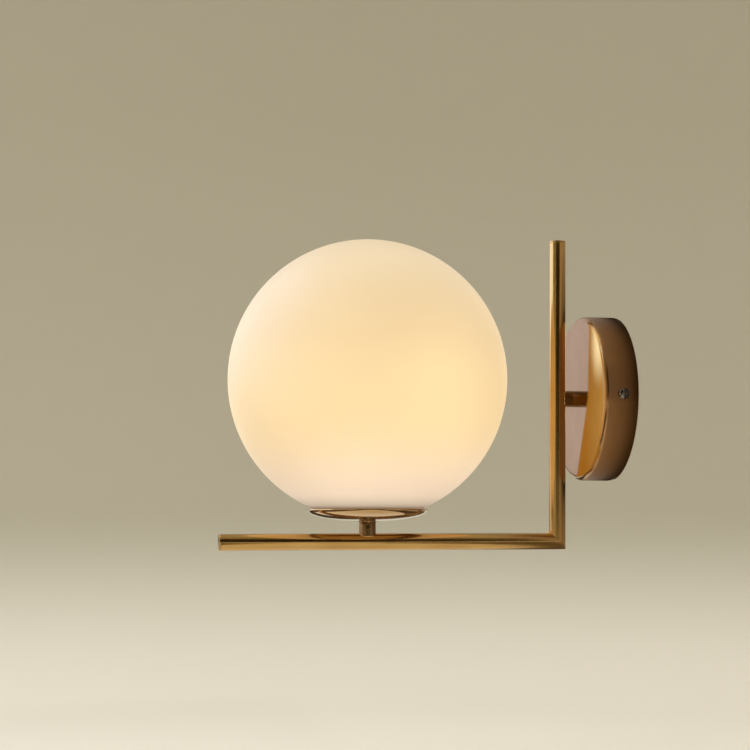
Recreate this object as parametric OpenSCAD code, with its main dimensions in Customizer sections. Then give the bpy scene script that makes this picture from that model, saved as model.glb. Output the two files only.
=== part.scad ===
// Wall sconce: a globe light standing on an L of round brass tube.
// Millimetres. The origin is the centre of the wall plate's back, on the wall.
// +Z is up, the wall is the plane Y = 0, and the lamp stands out towards -Y.

/* [Wall plate] */
// Outer diameter of the round wall plate
plate_d = 120; // [112:1:140]
// Depth of the wall plate, from the wall to its face
plate_depth = 25; // [24:0.5:30]
// Sheet thickness of the wall plate
plate_wall = 1.5; // [1:0.1:2]
// Radius of the plate's rounded front edge
plate_edge_r = 3.2; // [2.1:0.1:4]
// Distance from the wall to the two screws in the plate's side
side_screw_y = 11.2; // [9:0.1:13]
// Diameter of the side screws' heads
side_screw_head_d = 7.8; // [6.5:0.1:9]

/* [Wall bracket] */
// Thickness of the bracket's steel
bracket_t = 1.5; // [1.2:0.1:2.5]
// Height of the bracket's strap
strap_w = 20; // [16:1:24]
// Distance between the centres of the two wall screw slots
slot_spacing = 80; // [70:1:86]
// Length of a slot, end to end
slot_length = 12; // [8:0.5:14]
// Width of a slot
slot_w = 4.5; // [3.5:0.1:5.5]

/* [Tubes] */
// Outer diameter of the post, arm, stem and standoff
tube_d = 12; // [11.6:0.1:14]
// Wall of the tubes
tube_wall = 1.5; // [1:0.1:1.6]
// Distance from the wall to the post's axis
post_reach = 41; // [38:0.5:60]
// Height of the post's top above the plate's centre
post_up = 115.5; // [60:0.5:160]
// Distance of the arm's axis below the plate's centre
arm_drop = 104.5; // [80:0.5:140]
// Distance from the wall to the arm's free end
arm_reach = 290; // [250:1:340]
// Thickness of the caps in the tubes' open ends
end_cap_t = 1.3; // [1:0.1:2]

/* [Globe] */
// Outer diameter of the glass globe
globe_d = 200; // [180:1:216]
// Thickness of the glass
globe_wall = 3; // [2:0.1:4]
// Diameter of the opening under the globe
mouth_d = 66; // [64:0.5:70]
// Distance from the wall to the globe's axis
globe_reach = 183; // [172:0.5:200]
// Gap between the globe and the saucer's rim
globe_rim_gap = 2.5; // [2:0.1:4]

/* [Saucer] */
// Diameter of the saucer under the globe
saucer_d = 86; // [84:0.5:96]
// Depth of the saucer
saucer_depth = 8; // [7:0.1:9]
// Sheet thickness of the saucer
saucer_wall = 1.2; // [0.8:0.1:1.5]
// Height of the saucer's underside above the arm's axis
saucer_rise = 15; // [14:0.5:24]

/* [Gallery] */
// Outer diameter of the ring that locates the globe
gallery_d = 56.4; // [54:0.1:57]
// Height of the gallery ring
gallery_h = 14; // [11:0.5:16]
// Wall and floor thickness of the gallery ring
gallery_wall = 1.5; // [1:0.1:2]

/* [Lampholder] */
// Outer diameter of the lampholder
holder_d = 40; // [38:0.5:42]
// Wall of the lampholder's cap and barrel
holder_wall = 2; // [1.5:0.1:2.5]
// Height of the lampholder's cap
holder_cap_h = 24; // [23:0.5:28]
// Height of the lampholder's barrel
holder_barrel_h = 31.5; // [31:0.5:34]

/* [Bulb] */
// Diameter of the bulb's diffuser
bulb_d = 45; // [42:0.5:50]
// Length of the bulb, from its contact to its top
bulb_length = 78; // [74:0.5:90]

/* [Wiring] */
// Diameter of an insulated wire
wire_d = 2; // [1.4:0.1:2.1]
// Radius of a wire's bends, at its centre line
wire_bend_r = 2.5; // [2.1:0.1:2.8]

/* [Fits] */
// Clearance between the globe and what it stands on
lift_gap = 0.3; // [0.2:0.05:0.5]
// Gap at a brazed or cemented joint between curved faces
braze_gap = 0.1; // [0.05:0.05:0.2]
// Radial clearance of a threaded piece in its hole
thread_gap = 0.05; // [0.02:0.01:0.1]
// Radial clearance of a piece that is slipped through a hole
slip_gap = 0.2; // [0.1:0.05:0.3]

/* [Hidden] */
$fn = 64;

plate_r = plate_d / 2;
plate_ir = plate_r - plate_wall;
plate_inside_y = plate_depth - plate_wall;

tube_r = tube_d / 2;
tube_ir = tube_r - tube_wall;
arm_z = -arm_drop;
mitre_cut = 4 * tube_d;
tube_seat = 1.5;
standoff_h = post_reach - tube_r + tube_seat - plate_depth;
cap_spigot_h = 5;
cap_chamfer = 0.3;

thread_r = 5;
thread_pitch = 1;
thread_depth = 0.45;
nipple_bore_r = 3.6;
thread_grip = 6;
nipple_hole_r = thread_r + slip_gap;
tapped_r = thread_r + thread_gap;
nut_across_flats = 14;
nut_r = nut_across_flats / sqrt(3);
nut_t = 3;
washer_t = 1.5;
washer_r = 18;
lock_washer_t = 1.2;
lock_washer_r = 9;
lock_washer_slit = 1;
nipple_end = 0.8;
plate_stack = washer_t + lock_washer_t + nut_t + nipple_end;

end_tab_half = 6;
end_tab_over = 5;
strap_half = sqrt(plate_ir * plate_ir - strap_w * strap_w / 4) - slip_gap;
block_tab_half = 15;
earth_tab_half = 8;
earth_tab_z = -22;
side_screw_r = 2;
side_screw_length = 8;
side_screw_head_h = 2.4;
side_screw_pitch = 0.7;
recess_w = 1;
recess_depth = 1.3;

block_half_x = 13;
block_z = 16;
block_h = 17;
block_depth = 12.5;
block_pole = 8.2;
block_tab_top = block_z + block_h + 2;
terminal_screw_r = 1.7;
terminal_screw_h = 5;
terminal_row_z = [4, 13];
block_screw_r = 1.2;
block_screw_head_r = 1.8;
block_screw_head_h = 1.2;
block_screw_z = block_z + block_h / 2;
wire_hole_r = wire_d / 2 + 0.3;
wire_grip = 4;

earth_screw_z = -16;
earth_screw_r = 2;
earth_screw_head_r = 3.2;
earth_screw_head_h = 2;
earth_tag_t = 0.8;
earth_tag_r = 3.8;
earth_tag_half = 1.6;
earth_tag_top = earth_screw_z + 8;

stem_collar_t = 0.8;
stem_collar_r = tube_r + 0.8;
saucer_r = saucer_d / 2;
saucer_z = arm_z + saucer_rise;
saucer_rim_z = saucer_z + saucer_depth;
saucer_seat_r = 7;
saucer_bead_r = 1;
saucer_steps = 24;

gallery_r = gallery_d / 2;
gallery_z = dish_z(gallery_r, saucer_wall) + lift_gap;
spacer_r = 12;
spacer_z = dish_z(spacer_r, saucer_wall) + thread_gap;
gallery_nut_z = gallery_z + gallery_wall;
holder_z = gallery_nut_z + nut_t;

globe_r = globe_d / 2;
globe_ir = globe_r - globe_wall;
mouth_r = mouth_d / 2;
globe_z = saucer_rim_z + globe_rim_gap + sqrt(globe_r * globe_r - saucer_r * saucer_r);
glass_edge_z = globe_z - sqrt(globe_r * globe_r - mouth_r * mouth_r);
collar_ir = gallery_r + lift_gap;
collar_or = mouth_r - slip_gap;
collar_flange_r = mouth_r + 2;
collar_flange_t = 0.9;
collar_h = 7;
collar_z = glass_edge_z - slip_gap - collar_flange_t;
gasket_r = [mouth_r - 3, mouth_r + 1];
gasket_top = collar_z - lift_gap;

holder_r = holder_d / 2;
holder_ir = holder_r - holder_wall;
holder_floor_t = 3.5;
holder_floor_z = holder_z + holder_floor_t;
holder_ledge = 1.5;
core_sunk = 6;
core_h = 12;
core_r = holder_ir - slip_gap;
core_z = holder_z + holder_cap_h - core_sunk;
core_top = core_z + core_h;
terminal_size = 6;
terminal_h = 5;
terminal_x = 8.2;
terminal_z = core_z - terminal_h;
earth_terminal = 5;
earth_terminal_y = 9;
earth_terminal_h = 8;
contact_r = 4;
contact_t = 1;
shell_r = 13.6;
shell_wall = 0.4;
shell_h = 22;
shell_wave = 0.7;
shell_pitch = 3.63;
holder_barrel_z = holder_z + holder_cap_h;
holder_lip_h = 4;
holder_top = holder_barrel_z + holder_barrel_h;
stem_foot_z = arm_z + tube_r - tube_seat;
stem_nipple_z = saucer_z - stem_collar_t - thread_grip;
stem_nipple_top = holder_floor_z + nipple_end;

bulb_r = bulb_d / 2;
bulb_z = core_top + contact_t + lift_gap;
bulb_tip_r = 4.8;
bulb_tip_h = 1.2;
bulb_insulator_h = 3;
bulb_insulator_r = 11.5;
bulb_cap_z = bulb_z + bulb_tip_h + bulb_insulator_h;
bulb_cap_h = 21.5;
bulb_cap_r = 13.2;
bulb_cap_wall = 0.5;
bulb_thread_depth = 0.9;
bulb_housing_z = bulb_cap_z + bulb_cap_h;
bulb_centre_z = bulb_z + bulb_length - bulb_r;
bulb_seam_drop = 0.39 * bulb_r;
bulb_seam_z = bulb_centre_z - bulb_seam_drop;
bulb_seam_r = sqrt(bulb_r * bulb_r - bulb_seam_drop * bulb_seam_drop);
bulb_wall = 1.2;
bulb_neck_r = bulb_cap_r + 0.5;
bulb_ledge = 2;
bulb_board_sunk = 3;
bulb_board_t = 1.2;
bulb_board_r = bulb_seam_r - bulb_wall - slip_gap;
driver_half_w = 8;
driver_h = 22;
driver_t = 1.2;

wire_r = wire_d / 2;
wire_pitch = wire_d + 0.2;
wire_entry_y = -8;
wire_turn_z = 8;
wire_fan_z = holder_floor_z + 4;
earth_fan_z = holder_floor_z + 5;
earth_wire_y = -bracket_t - earth_tag_t - wire_r;

brass = [0.72, 0.53, 0.26];
dark_brass = [0.45, 0.33, 0.18];
steel = [0.72, 0.72, 0.72];
zinc = [0.6, 0.62, 0.64];
alloy = [0.8, 0.81, 0.82];
opal = [1, 0.9, 0.72];
white_plastic = [0.93, 0.93, 0.9];
black_plastic = [0.1, 0.1, 0.1];
ceramic_white = [0.9, 0.88, 0.84];
board_green = [0.15, 0.4, 0.25];

// Points of an arc, for use in an outline
function arc_points(centre, r, from, to, steps) = [
    for (i = [0 : steps])
        let (a = from + (to - from) * i / steps)
        centre + r * [cos(a), sin(a)]
];

// Height of the dish at a radius, on its underside or a wall's thickness above it
function dish_z(r, wall) =
    let (span = saucer_r - wall - saucer_seat_r,
         share = min(1, max(0, (r - saucer_seat_r) / span)))
    saucer_rim_z - (saucer_depth - wall) * sqrt(1 - share * share);

// Points along the dish, closer together towards the steep rim
function dish_points(wall, last_r) = [
    for (i = [0 : saucer_steps])
        let (r = saucer_seat_r + (last_r - saucer_seat_r) * sin(90 * i / saucer_steps))
        [r, dish_z(r, wall)]
];

function reversed(points) = [for (i = [len(points) - 1 : -1 : 0]) points[i]];

// Stands a piece up on the globe's axis
module on_globe_axis(z = 0) {
    translate([0, -globe_reach, z]) children();
}

// Turns a piece that is drawn upwards so that it stands out from the wall, y from it
module out_from_wall(y = 0, x = 0, z = 0) {
    translate([x, -y, z]) rotate([90, 0, 0]) children();
}

module ring(outer_r, inner_r, h) {
    difference() {
        cylinder(r = outer_r, h = h);
        translate([0, 0, -1]) cylinder(r = inner_r, h = h + 2);
    }
}

// A screw thread drawn as rings, one to each turn
module threaded_rod(r, h, pitch, depth, bore_r = 0) {
    turns = floor(h / pitch);
    outline = concat(
        [[bore_r, 0]],
        [for (i = [0 : turns - 1], half = [0, 1])
            [r - (half == 0 ? depth : 0), pitch * (i + half / 2)]],
        [[r - depth, pitch * turns], [r - depth, h], [bore_r, h]]
    );
    rotate_extrude() polygon(outline);
}

module hex_nut() {
    difference() {
        cylinder(r = nut_r, h = nut_t, $fn = 6);
        translate([0, 0, -1]) cylinder(r = tapped_r, h = nut_t + 2);
    }
}

// A domed screw head with a cross recess, its flat side down
module cross_head(r, h) {
    difference() {
        rotate_extrude()
            polygon(concat([[0, 0]],
                [for (i = [0 : 8]) [r * cos(90 * i / 8), h * (0.35 + 0.65 * sin(90 * i / 8)) * (i == 0 ? 0 : 1)]]));
        for (turn = [0, 90])
            rotate([0, 0, turn])
                translate([-0.55 * r, -recess_w / 2, h - recess_depth])
                    cube([1.1 * r, recess_w, recess_depth + 1]);
    }
}

// A slotted grub or terminal screw, its slot up
module slotted_screw(r, h) {
    difference() {
        cylinder(r = r, h = h);
        translate([-r - 1, -r / 5, h - r / 2]) cube([2 * r + 2, 2 * r / 5, r]);
    }
}

// The disc that closes a tube's end, with the spigot that holds it in the bore
module tube_cap() {
    outline = [
        [0, -cap_spigot_h], [tube_ir - braze_gap, -cap_spigot_h], [tube_ir - braze_gap, 0],
        [tube_r - cap_chamfer, 0], [tube_r, cap_chamfer],
        [tube_r, end_cap_t - cap_chamfer], [tube_r - cap_chamfer, end_cap_t], [0, end_cap_t]
    ];
    rotate_extrude() polygon(outline);
}

module wall_plate() color(dark_brass) {
    edge_in_r = plate_edge_r - plate_wall;
    outline = concat(
        [[plate_ir, 0], [plate_r, 0]],
        arc_points([plate_r - plate_edge_r, plate_depth - plate_edge_r], plate_edge_r, 0, 90, 8),
        [[nipple_hole_r, plate_depth], [nipple_hole_r, plate_inside_y]],
        arc_points([plate_ir - edge_in_r, plate_inside_y - edge_in_r], edge_in_r, 90, 0, 4)
    );
    difference() {
        out_from_wall() rotate_extrude() polygon(outline);
        for (side = [-1, 1])
            translate([side * plate_r, -side_screw_y, 0])
                rotate([0, 90, 0])
                    cylinder(r = side_screw_r + slip_gap, h = 6 * plate_wall, center = true);
    }
}

module mounting_bracket() color(zinc) {
    difference() {
        union() {
            translate([-strap_half, -bracket_t, -strap_w / 2])
                cube([2 * strap_half, bracket_t, strap_w]);
            translate([-block_tab_half, -bracket_t, 0])
                cube([2 * block_tab_half, bracket_t, block_tab_top]);
            translate([-earth_tab_half, -bracket_t, earth_tab_z])
                cube([2 * earth_tab_half, bracket_t, -earth_tab_z]);
            for (side = [-1, 1])
                translate([side * (strap_half - bracket_t / 2), -(side_screw_y + end_tab_over) / 2, 0])
                    cube([bracket_t, side_screw_y + end_tab_over, 2 * end_tab_half], center = true);
        }
        for (side = [-1, 1]) {
            wall_slot(side * slot_spacing / 2);
            translate([side * strap_half, -side_screw_y, 0])
                rotate([0, 90, 0])
                    cylinder(r = side_screw_r + thread_gap, h = 4 * bracket_t, center = true);
            block_screw_hole(side);
        }
        out_from_wall(-1, 0, earth_screw_z)
            cylinder(r = earth_screw_r + thread_gap, h = bracket_t + 2);
    }
}

// One slot for a wall screw, along the strap
module wall_slot(x) {
    run = (slot_length - slot_w) / 2;
    out_from_wall(-1, x) {
        for (side = [-1, 1])
            translate([side * run, 0, 0]) cylinder(d = slot_w, h = bracket_t + 2);
        translate([-run, -slot_w / 2, 0]) cube([2 * run, slot_w, bracket_t + 2]);
    }
}

module block_screw_hole(side) {
    out_from_wall(-1, side * block_pole / 2, block_screw_z)
        cylinder(r = block_screw_r + thread_gap, h = block_depth + bracket_t + 2);
}

module cover_screws() color(steel)
    for (side = [-1, 1])
        mirror([side < 0 ? 1 : 0, 0, 0])
            translate([plate_r, -side_screw_y, 0])
                rotate([0, 90, 0]) {
                    cross_head(side_screw_head_d / 2, side_screw_head_h);
                    translate([0, 0, -side_screw_length])
                        threaded_rod(side_screw_r, side_screw_length, side_screw_pitch, 0.3);
                }

module earth_screw() color(brass)
    out_from_wall(bracket_t + earth_tag_t, 0, earth_screw_z) {
        cross_head(earth_screw_head_r, earth_screw_head_h);
        translate([0, 0, -earth_tag_t - bracket_t])
            cylinder(r = earth_screw_r, h = earth_tag_t + bracket_t);
    }

module earth_tag() color(zinc)
    difference() {
        union() {
            out_from_wall(bracket_t, 0, earth_screw_z) cylinder(r = earth_tag_r, h = earth_tag_t);
            translate([-earth_tag_half, -bracket_t - earth_tag_t, earth_screw_z])
                cube([2 * earth_tag_half, earth_tag_t, earth_tag_top - earth_screw_z]);
        }
        out_from_wall(0, 0, earth_screw_z) cylinder(r = earth_screw_r + thread_gap, h = bracket_t + 2);
    }

module terminal_block() color(white_plastic)
    difference() {
        translate([-block_half_x, -bracket_t - block_depth, block_z])
            cube([2 * block_half_x, block_depth, block_h]);
        for (pole = [-1, 0, 1]) {
            translate([pole * block_pole, wire_entry_y, block_z - 1])
                cylinder(r = wire_hole_r, h = block_h + 2);
            for (row = terminal_row_z)
                out_from_wall(bracket_t + block_depth - terminal_screw_h, pole * block_pole, block_z + row)
                    cylinder(r = terminal_screw_r + thread_gap, h = terminal_screw_h + 1);
        }
        for (side = [-1, 1]) block_screw_hole(side);
    }

module terminal_screws() color(steel)
    for (pole = [-1, 0, 1], row = terminal_row_z)
        out_from_wall(bracket_t + block_depth - terminal_screw_h, pole * block_pole, block_z + row)
            slotted_screw(terminal_screw_r, terminal_screw_h - 1);

module block_screws() color(steel)
    for (side = [-1, 1]) {
        out_from_wall(0, side * block_pole / 2, block_screw_z)
            cylinder(r = block_screw_r, h = bracket_t + block_depth);
        out_from_wall(bracket_t + block_depth, side * block_pole / 2, block_screw_z)
            slotted_screw(block_screw_head_r, block_screw_head_h);
    }

module plate_nipple() color(brass)
    out_from_wall(plate_inside_y - plate_stack)
        threaded_rod(thread_r, plate_stack + plate_wall + thread_grip,
            thread_pitch, thread_depth, nipple_bore_r);

module plate_washer() color(zinc)
    out_from_wall(plate_inside_y - washer_t) ring(washer_r, nipple_hole_r, washer_t);

module plate_lock_washer() color(steel)
    out_from_wall(plate_inside_y - washer_t - lock_washer_t)
        difference() {
            ring(lock_washer_r, nipple_hole_r, lock_washer_t);
            translate([0, -lock_washer_slit / 2, -1])
                cube([lock_washer_r + 1, lock_washer_slit, lock_washer_t + 2]);
        }

module plate_nut() color(brass)
    out_from_wall(plate_inside_y - washer_t - lock_washer_t - nut_t) hex_nut();

// The short tube that carries the post on the wall plate, its end milled a little way round the post
module standoff() color(brass)
    difference() {
        out_from_wall(plate_depth) cylinder(r = tube_r, h = standoff_h);
        out_from_wall(plate_depth - 1) cylinder(r = tube_ir, h = post_reach);
        out_from_wall(plate_depth - 1) cylinder(r = tapped_r, h = thread_grip + 1);
        translate([0, -post_reach, -tube_d]) cylinder(r = tube_r + braze_gap, h = 2 * tube_d);
    }

// Removes what lies past the corner's mitre, on the arm's side or on the post's side
module mitre(below) {
    translate([0, -post_reach, arm_z])
        rotate([-45, 0, 0])
            translate([-mitre_cut / 2, -mitre_cut / 2, below ? -mitre_cut : 0])
                cube(mitre_cut);
}

module post() color(brass) {
    tube_h = post_up - end_cap_t - arm_z + tube_r;
    difference() {
        translate([0, -post_reach, arm_z - tube_r]) cylinder(r = tube_r, h = tube_h);
        translate([0, -post_reach, arm_z - tube_r - 1]) cylinder(r = tube_ir, h = tube_h + 2);
        mitre(below = true);
        out_from_wall(post_reach - tube_d) cylinder(r = tube_ir, h = tube_d);
    }
}

module post_cap() color(brass)
    translate([0, -post_reach, post_up - end_cap_t]) tube_cap();

module arm() color(brass) {
    tube_l = arm_reach - end_cap_t - post_reach + tube_r;
    difference() {
        out_from_wall(post_reach - tube_r, 0, arm_z) cylinder(r = tube_r, h = tube_l);
        out_from_wall(post_reach - tube_r - 1, 0, arm_z) cylinder(r = tube_ir, h = tube_l + 2);
        mitre(below = false);
        on_globe_axis(arm_z) cylinder(r = tube_ir, h = tube_d);
    }
}

module arm_cap() color(brass)
    out_from_wall(arm_reach - end_cap_t, 0, arm_z) tube_cap();

// The short tube that carries the saucer, its foot milled a little way round the arm
module stem() color(brass)
    difference() {
        on_globe_axis(stem_foot_z) cylinder(r = tube_r, h = saucer_z - stem_collar_t - stem_foot_z);
        on_globe_axis(arm_z - 1) cylinder(r = tube_ir, h = saucer_rise + 1);
        on_globe_axis(stem_nipple_z) cylinder(r = tapped_r, h = thread_grip + 1);
        out_from_wall(globe_reach - tube_d, 0, arm_z)
            cylinder(r = tube_r + braze_gap, h = 2 * tube_d);
    }

module stem_collar() color(brass)
    on_globe_axis(saucer_z - stem_collar_t) ring(stem_collar_r, nipple_hole_r, stem_collar_t);

module stem_nipple() color(brass)
    on_globe_axis(stem_nipple_z)
        threaded_rod(thread_r, stem_nipple_top - stem_nipple_z,
            thread_pitch, thread_depth, nipple_bore_r);

module saucer() color(brass) {
    bead_centre = [saucer_r - saucer_bead_r, saucer_rim_z];
    outline = concat(
        [[nipple_hole_r, saucer_z]],
        dish_points(0, saucer_r),
        arc_points(bead_centre, saucer_bead_r, 20, 200, 9),
        reversed(dish_points(saucer_wall, saucer_r - 2 * saucer_bead_r)),
        [[nipple_hole_r, saucer_z + saucer_wall]]
    );
    on_globe_axis() rotate_extrude() polygon(outline);
}

module saucer_spacer() color(alloy)
    on_globe_axis(spacer_z) ring(spacer_r, nipple_hole_r, gallery_z - spacer_z);

// The cup that stands inside the globe's collar and centres the globe
module gallery_ring() color(alloy)
    on_globe_axis(gallery_z)
        difference() {
            cylinder(r = gallery_r, h = gallery_h);
            translate([0, 0, gallery_wall]) cylinder(r = gallery_r - gallery_wall, h = gallery_h);
            translate([0, 0, -1]) cylinder(r = nipple_hole_r, h = gallery_wall + 2);
        }

module gallery_nut() color(brass) on_globe_axis(gallery_nut_z) hex_nut();

module globe_gasket() color(black_plastic) {
    outline = [
        [gasket_r[0], dish_z(gasket_r[0], saucer_wall) + braze_gap],
        [gasket_r[1], dish_z(gasket_r[1], saucer_wall) + braze_gap],
        [gasket_r[1], gasket_top], [gasket_r[0], gasket_top]
    ];
    on_globe_axis() rotate_extrude() polygon(outline);
}

module lampholder_cap() color(black_plastic)
    on_globe_axis(holder_z)
        difference() {
            cylinder(r = holder_r, h = holder_cap_h);
            translate([0, 0, -1]) cylinder(r = tapped_r, h = holder_floor_t + 2);
            translate([0, 0, holder_floor_t])
                cylinder(r = holder_ir - holder_ledge, h = holder_cap_h);
            translate([0, 0, holder_cap_h - core_sunk]) cylinder(r = holder_ir, h = holder_cap_h);
        }

module lampholder_core() color(ceramic_white)
    on_globe_axis(core_z)
        difference() {
            cylinder(r = core_r, h = core_h);
            for (side = [-1, 1])
                translate([side * terminal_x, 0, -1]) cylinder(r = wire_hole_r, h = core_h / 2);
        }

module lampholder_terminals() color(brass)
    for (side = [-1, 1])
        translate([side * terminal_x, -globe_reach, terminal_z])
            difference() {
                translate([-terminal_size / 2, -terminal_size / 2, 0])
                    cube([terminal_size, terminal_size, terminal_h]);
                translate([0, 0, -1]) cylinder(r = wire_hole_r, h = terminal_h + 2);
            }

module earth_terminal() color(brass)
    difference() {
        translate([-earth_terminal / 2, earth_terminal_y - globe_reach, holder_floor_z])
            cube([earth_terminal, earth_terminal, earth_terminal_h]);
        translate([0, -globe_reach, earth_fan_z])
            rotate([-90, 0, 0]) cylinder(r = wire_hole_r, h = earth_terminal_y + wire_grip);
    }

module centre_contact() color(brass)
    on_globe_axis(core_top) cylinder(r = contact_r, h = contact_t);

// Radius of the lampholder's rolled thread at a height above the core
function shell_wave_r(z) = shell_r + shell_wave * (1 - cos(360 * z / shell_pitch)) / 2;

module screw_shell() color(brass) {
    steps = ceil(shell_h / shell_pitch * 8);
    heights = [for (i = [0 : steps]) shell_h * i / steps];
    outline = concat(
        [for (z = heights) [shell_wave_r(z), z]],
        reversed([for (z = heights) [shell_wave_r(z) + shell_wall, z]])
    );
    on_globe_axis(core_top) rotate_extrude() polygon(outline);
}

module lampholder_barrel() color(black_plastic) {
    lip_r = shell_r + shell_wave + shell_wall + slip_gap;
    on_globe_axis(holder_barrel_z)
        difference() {
            cylinder(r = holder_r, h = holder_barrel_h);
            translate([0, 0, -1]) cylinder(r = holder_ir, h = holder_barrel_h - holder_lip_h + 1);
            cylinder(r = lip_r, h = holder_barrel_h + 1);
        }
}

// A wire along straight runs joined by quarter bends, each run along one axis
module wire(route) {
    last = len(route) - 1;
    for (i = [0 : last - 1]) {
        way = unit(route[i + 1] - route[i]);
        from = route[i] + way * (i == 0 ? 0 : wire_bend_r);
        to = route[i + 1] - way * (i == last - 1 ? 0 : wire_bend_r);
        side = abs(way.x) > 0.5 ? [0, 1, 0] : [1, 0, 0];
        place(from, cross(side, way), side * -1, way)
            cylinder(r = wire_r, h = norm(to - from));
        if (i < last - 1) {
            next = unit(route[i + 2] - route[i + 1]);
            place(to + next * wire_bend_r, -next, way, cross(-next, way))
                rotate_extrude(angle = 90) translate([wire_bend_r, 0]) circle(r = wire_r);
        }
    }
}

function unit(v) = v / norm(v);

// Puts a piece at a point, with its own X, Y and Z along three directions
module place(at, x, y, z) {
    multmatrix([
        [x.x, y.x, z.x, at.x],
        [x.y, y.y, z.y, at.y],
        [x.z, y.z, z.z, at.z],
        [0, 0, 0, 1]
    ]) children();
}

// The live or neutral wire: from the terminal block through the tubes to the lampholder
function mains_route(side) = [
    [side * block_pole, wire_entry_y, block_z + wire_grip],
    [side * block_pole, wire_entry_y, wire_turn_z],
    [side * wire_pitch, wire_entry_y, wire_turn_z],
    [side * wire_pitch, wire_entry_y, 0],
    [side * wire_pitch, -post_reach, 0],
    [side * wire_pitch, -post_reach, arm_z],
    [side * wire_pitch, -globe_reach, arm_z],
    [side * wire_pitch, -globe_reach, wire_fan_z],
    [side * terminal_x, -globe_reach, wire_fan_z],
    [side * terminal_x, -globe_reach, terminal_z + wire_grip]
];

function earth_route() = [
    [0, earth_wire_y, earth_tag_top - wire_grip],
    [0, earth_wire_y, 0],
    [0, -post_reach, 0],
    [0, -post_reach, arm_z],
    [0, -globe_reach, arm_z],
    [0, -globe_reach, earth_fan_z],
    [0, earth_terminal_y + wire_grip - 1 - globe_reach, earth_fan_z]
];

module live_wire() color([0.45, 0.25, 0.12]) wire(mains_route(-1));

module neutral_wire() color([0.15, 0.35, 0.7]) wire(mains_route(1));

module earth_wire() color([0.3, 0.6, 0.2]) wire(earth_route());

module globe() color(opal)
    on_globe_axis(globe_z)
        difference() {
            sphere(r = globe_r);
            sphere(r = globe_ir);
            translate([0, 0, -globe_d]) cylinder(r = mouth_r, h = globe_d);
        }

// The ring cemented into the globe's mouth, which drops over the gallery ring
module globe_collar() color(alloy) {
    outline = [
        [collar_ir, 0], [collar_flange_r, 0], [collar_flange_r, collar_flange_t],
        [collar_or, collar_flange_t], [collar_or, collar_h], [collar_ir, collar_h]
    ];
    on_globe_axis(collar_z) rotate_extrude() polygon(outline);
}

module bulb_dome() color(white_plastic)
    on_globe_axis(bulb_centre_z)
        difference() {
            sphere(r = bulb_r);
            sphere(r = bulb_r - bulb_wall);
            translate([0, 0, -bulb_seam_drop - bulb_d]) cylinder(r = bulb_d, h = bulb_d);
        }

module bulb_housing() color(white_plastic) {
    ledge_z = bulb_seam_z - bulb_board_sunk;
    wall = bulb_cap_wall + 1;
    outline = [
        [bulb_neck_r - wall, bulb_housing_z], [bulb_neck_r, bulb_housing_z],
        [bulb_seam_r, bulb_seam_z], [bulb_seam_r - bulb_wall, bulb_seam_z],
        [bulb_seam_r - bulb_wall, ledge_z], [bulb_seam_r - bulb_wall - bulb_ledge, ledge_z],
        [bulb_neck_r - wall, bulb_housing_z + 1]
    ];
    on_globe_axis() rotate_extrude() polygon(outline);
}

module bulb_led_board() color(ceramic_white)
    on_globe_axis(bulb_seam_z - bulb_board_sunk) {
        cylinder(r = bulb_board_r, h = bulb_board_t);
        for (turn = [0 : 60 : 300])
            rotate([0, 0, turn])
                translate([bulb_board_r / 2, -1.4, bulb_board_t]) cube([2.8, 2.8, 0.7]);
    }

module bulb_driver_board() color(board_green)
    on_globe_axis(bulb_seam_z - bulb_board_sunk - driver_h)
        translate([-driver_t / 2, -driver_half_w, 0]) cube([driver_t, 2 * driver_half_w, driver_h]);

// Radius of the bulb's rolled thread at a height above the cap's lower edge
function bulb_thread_r(z) = bulb_cap_r - bulb_thread_depth * (1 + cos(360 * z / shell_pitch)) / 2;

module bulb_cap() color(zinc) {
    taper_h = 1;
    steps = ceil((bulb_cap_h - taper_h) / shell_pitch * 8);
    heights = [for (i = [0 : steps]) taper_h + (bulb_cap_h - taper_h) * i / steps];
    outline = concat(
        [[bulb_insulator_r - bulb_cap_wall, 0], [bulb_insulator_r, 0]],
        [for (z = heights) [bulb_thread_r(z - taper_h), z]],
        reversed([for (z = heights) [bulb_thread_r(z - taper_h) - bulb_cap_wall, z]])
    );
    on_globe_axis(bulb_cap_z) rotate_extrude() polygon(outline);
}

module bulb_insulator() color(black_plastic)
    on_globe_axis(bulb_z + bulb_tip_h)
        cylinder(r1 = bulb_tip_r + 0.4, r2 = bulb_insulator_r, h = bulb_insulator_h);

module bulb_tip() color(steel)
    on_globe_axis(bulb_z) cylinder(r1 = 0.8 * bulb_tip_r, r2 = bulb_tip_r, h = bulb_tip_h);

wall_plate();
mounting_bracket();
cover_screws();
earth_screw();
earth_tag();
terminal_block();
terminal_screws();
block_screws();
plate_nipple();
plate_washer();
plate_lock_washer();
plate_nut();
standoff();
post();
post_cap();
arm();
arm_cap();
stem();
stem_collar();
stem_nipple();
saucer();
saucer_spacer();
gallery_ring();
gallery_nut();
globe_gasket();
lampholder_cap();
lampholder_core();
lampholder_terminals();
earth_terminal();
centre_contact();
screw_shell();
lampholder_barrel();
live_wire();
neutral_wire();
earth_wire();
globe();
globe_collar();
bulb_dome();
bulb_housing();
bulb_led_board();
bulb_driver_board();
bulb_cap();
bulb_insulator();
bulb_tip();
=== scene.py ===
"""Dresses the wall sconce: fine meshes for what shows, and a real finish on every piece."""

import math

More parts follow.
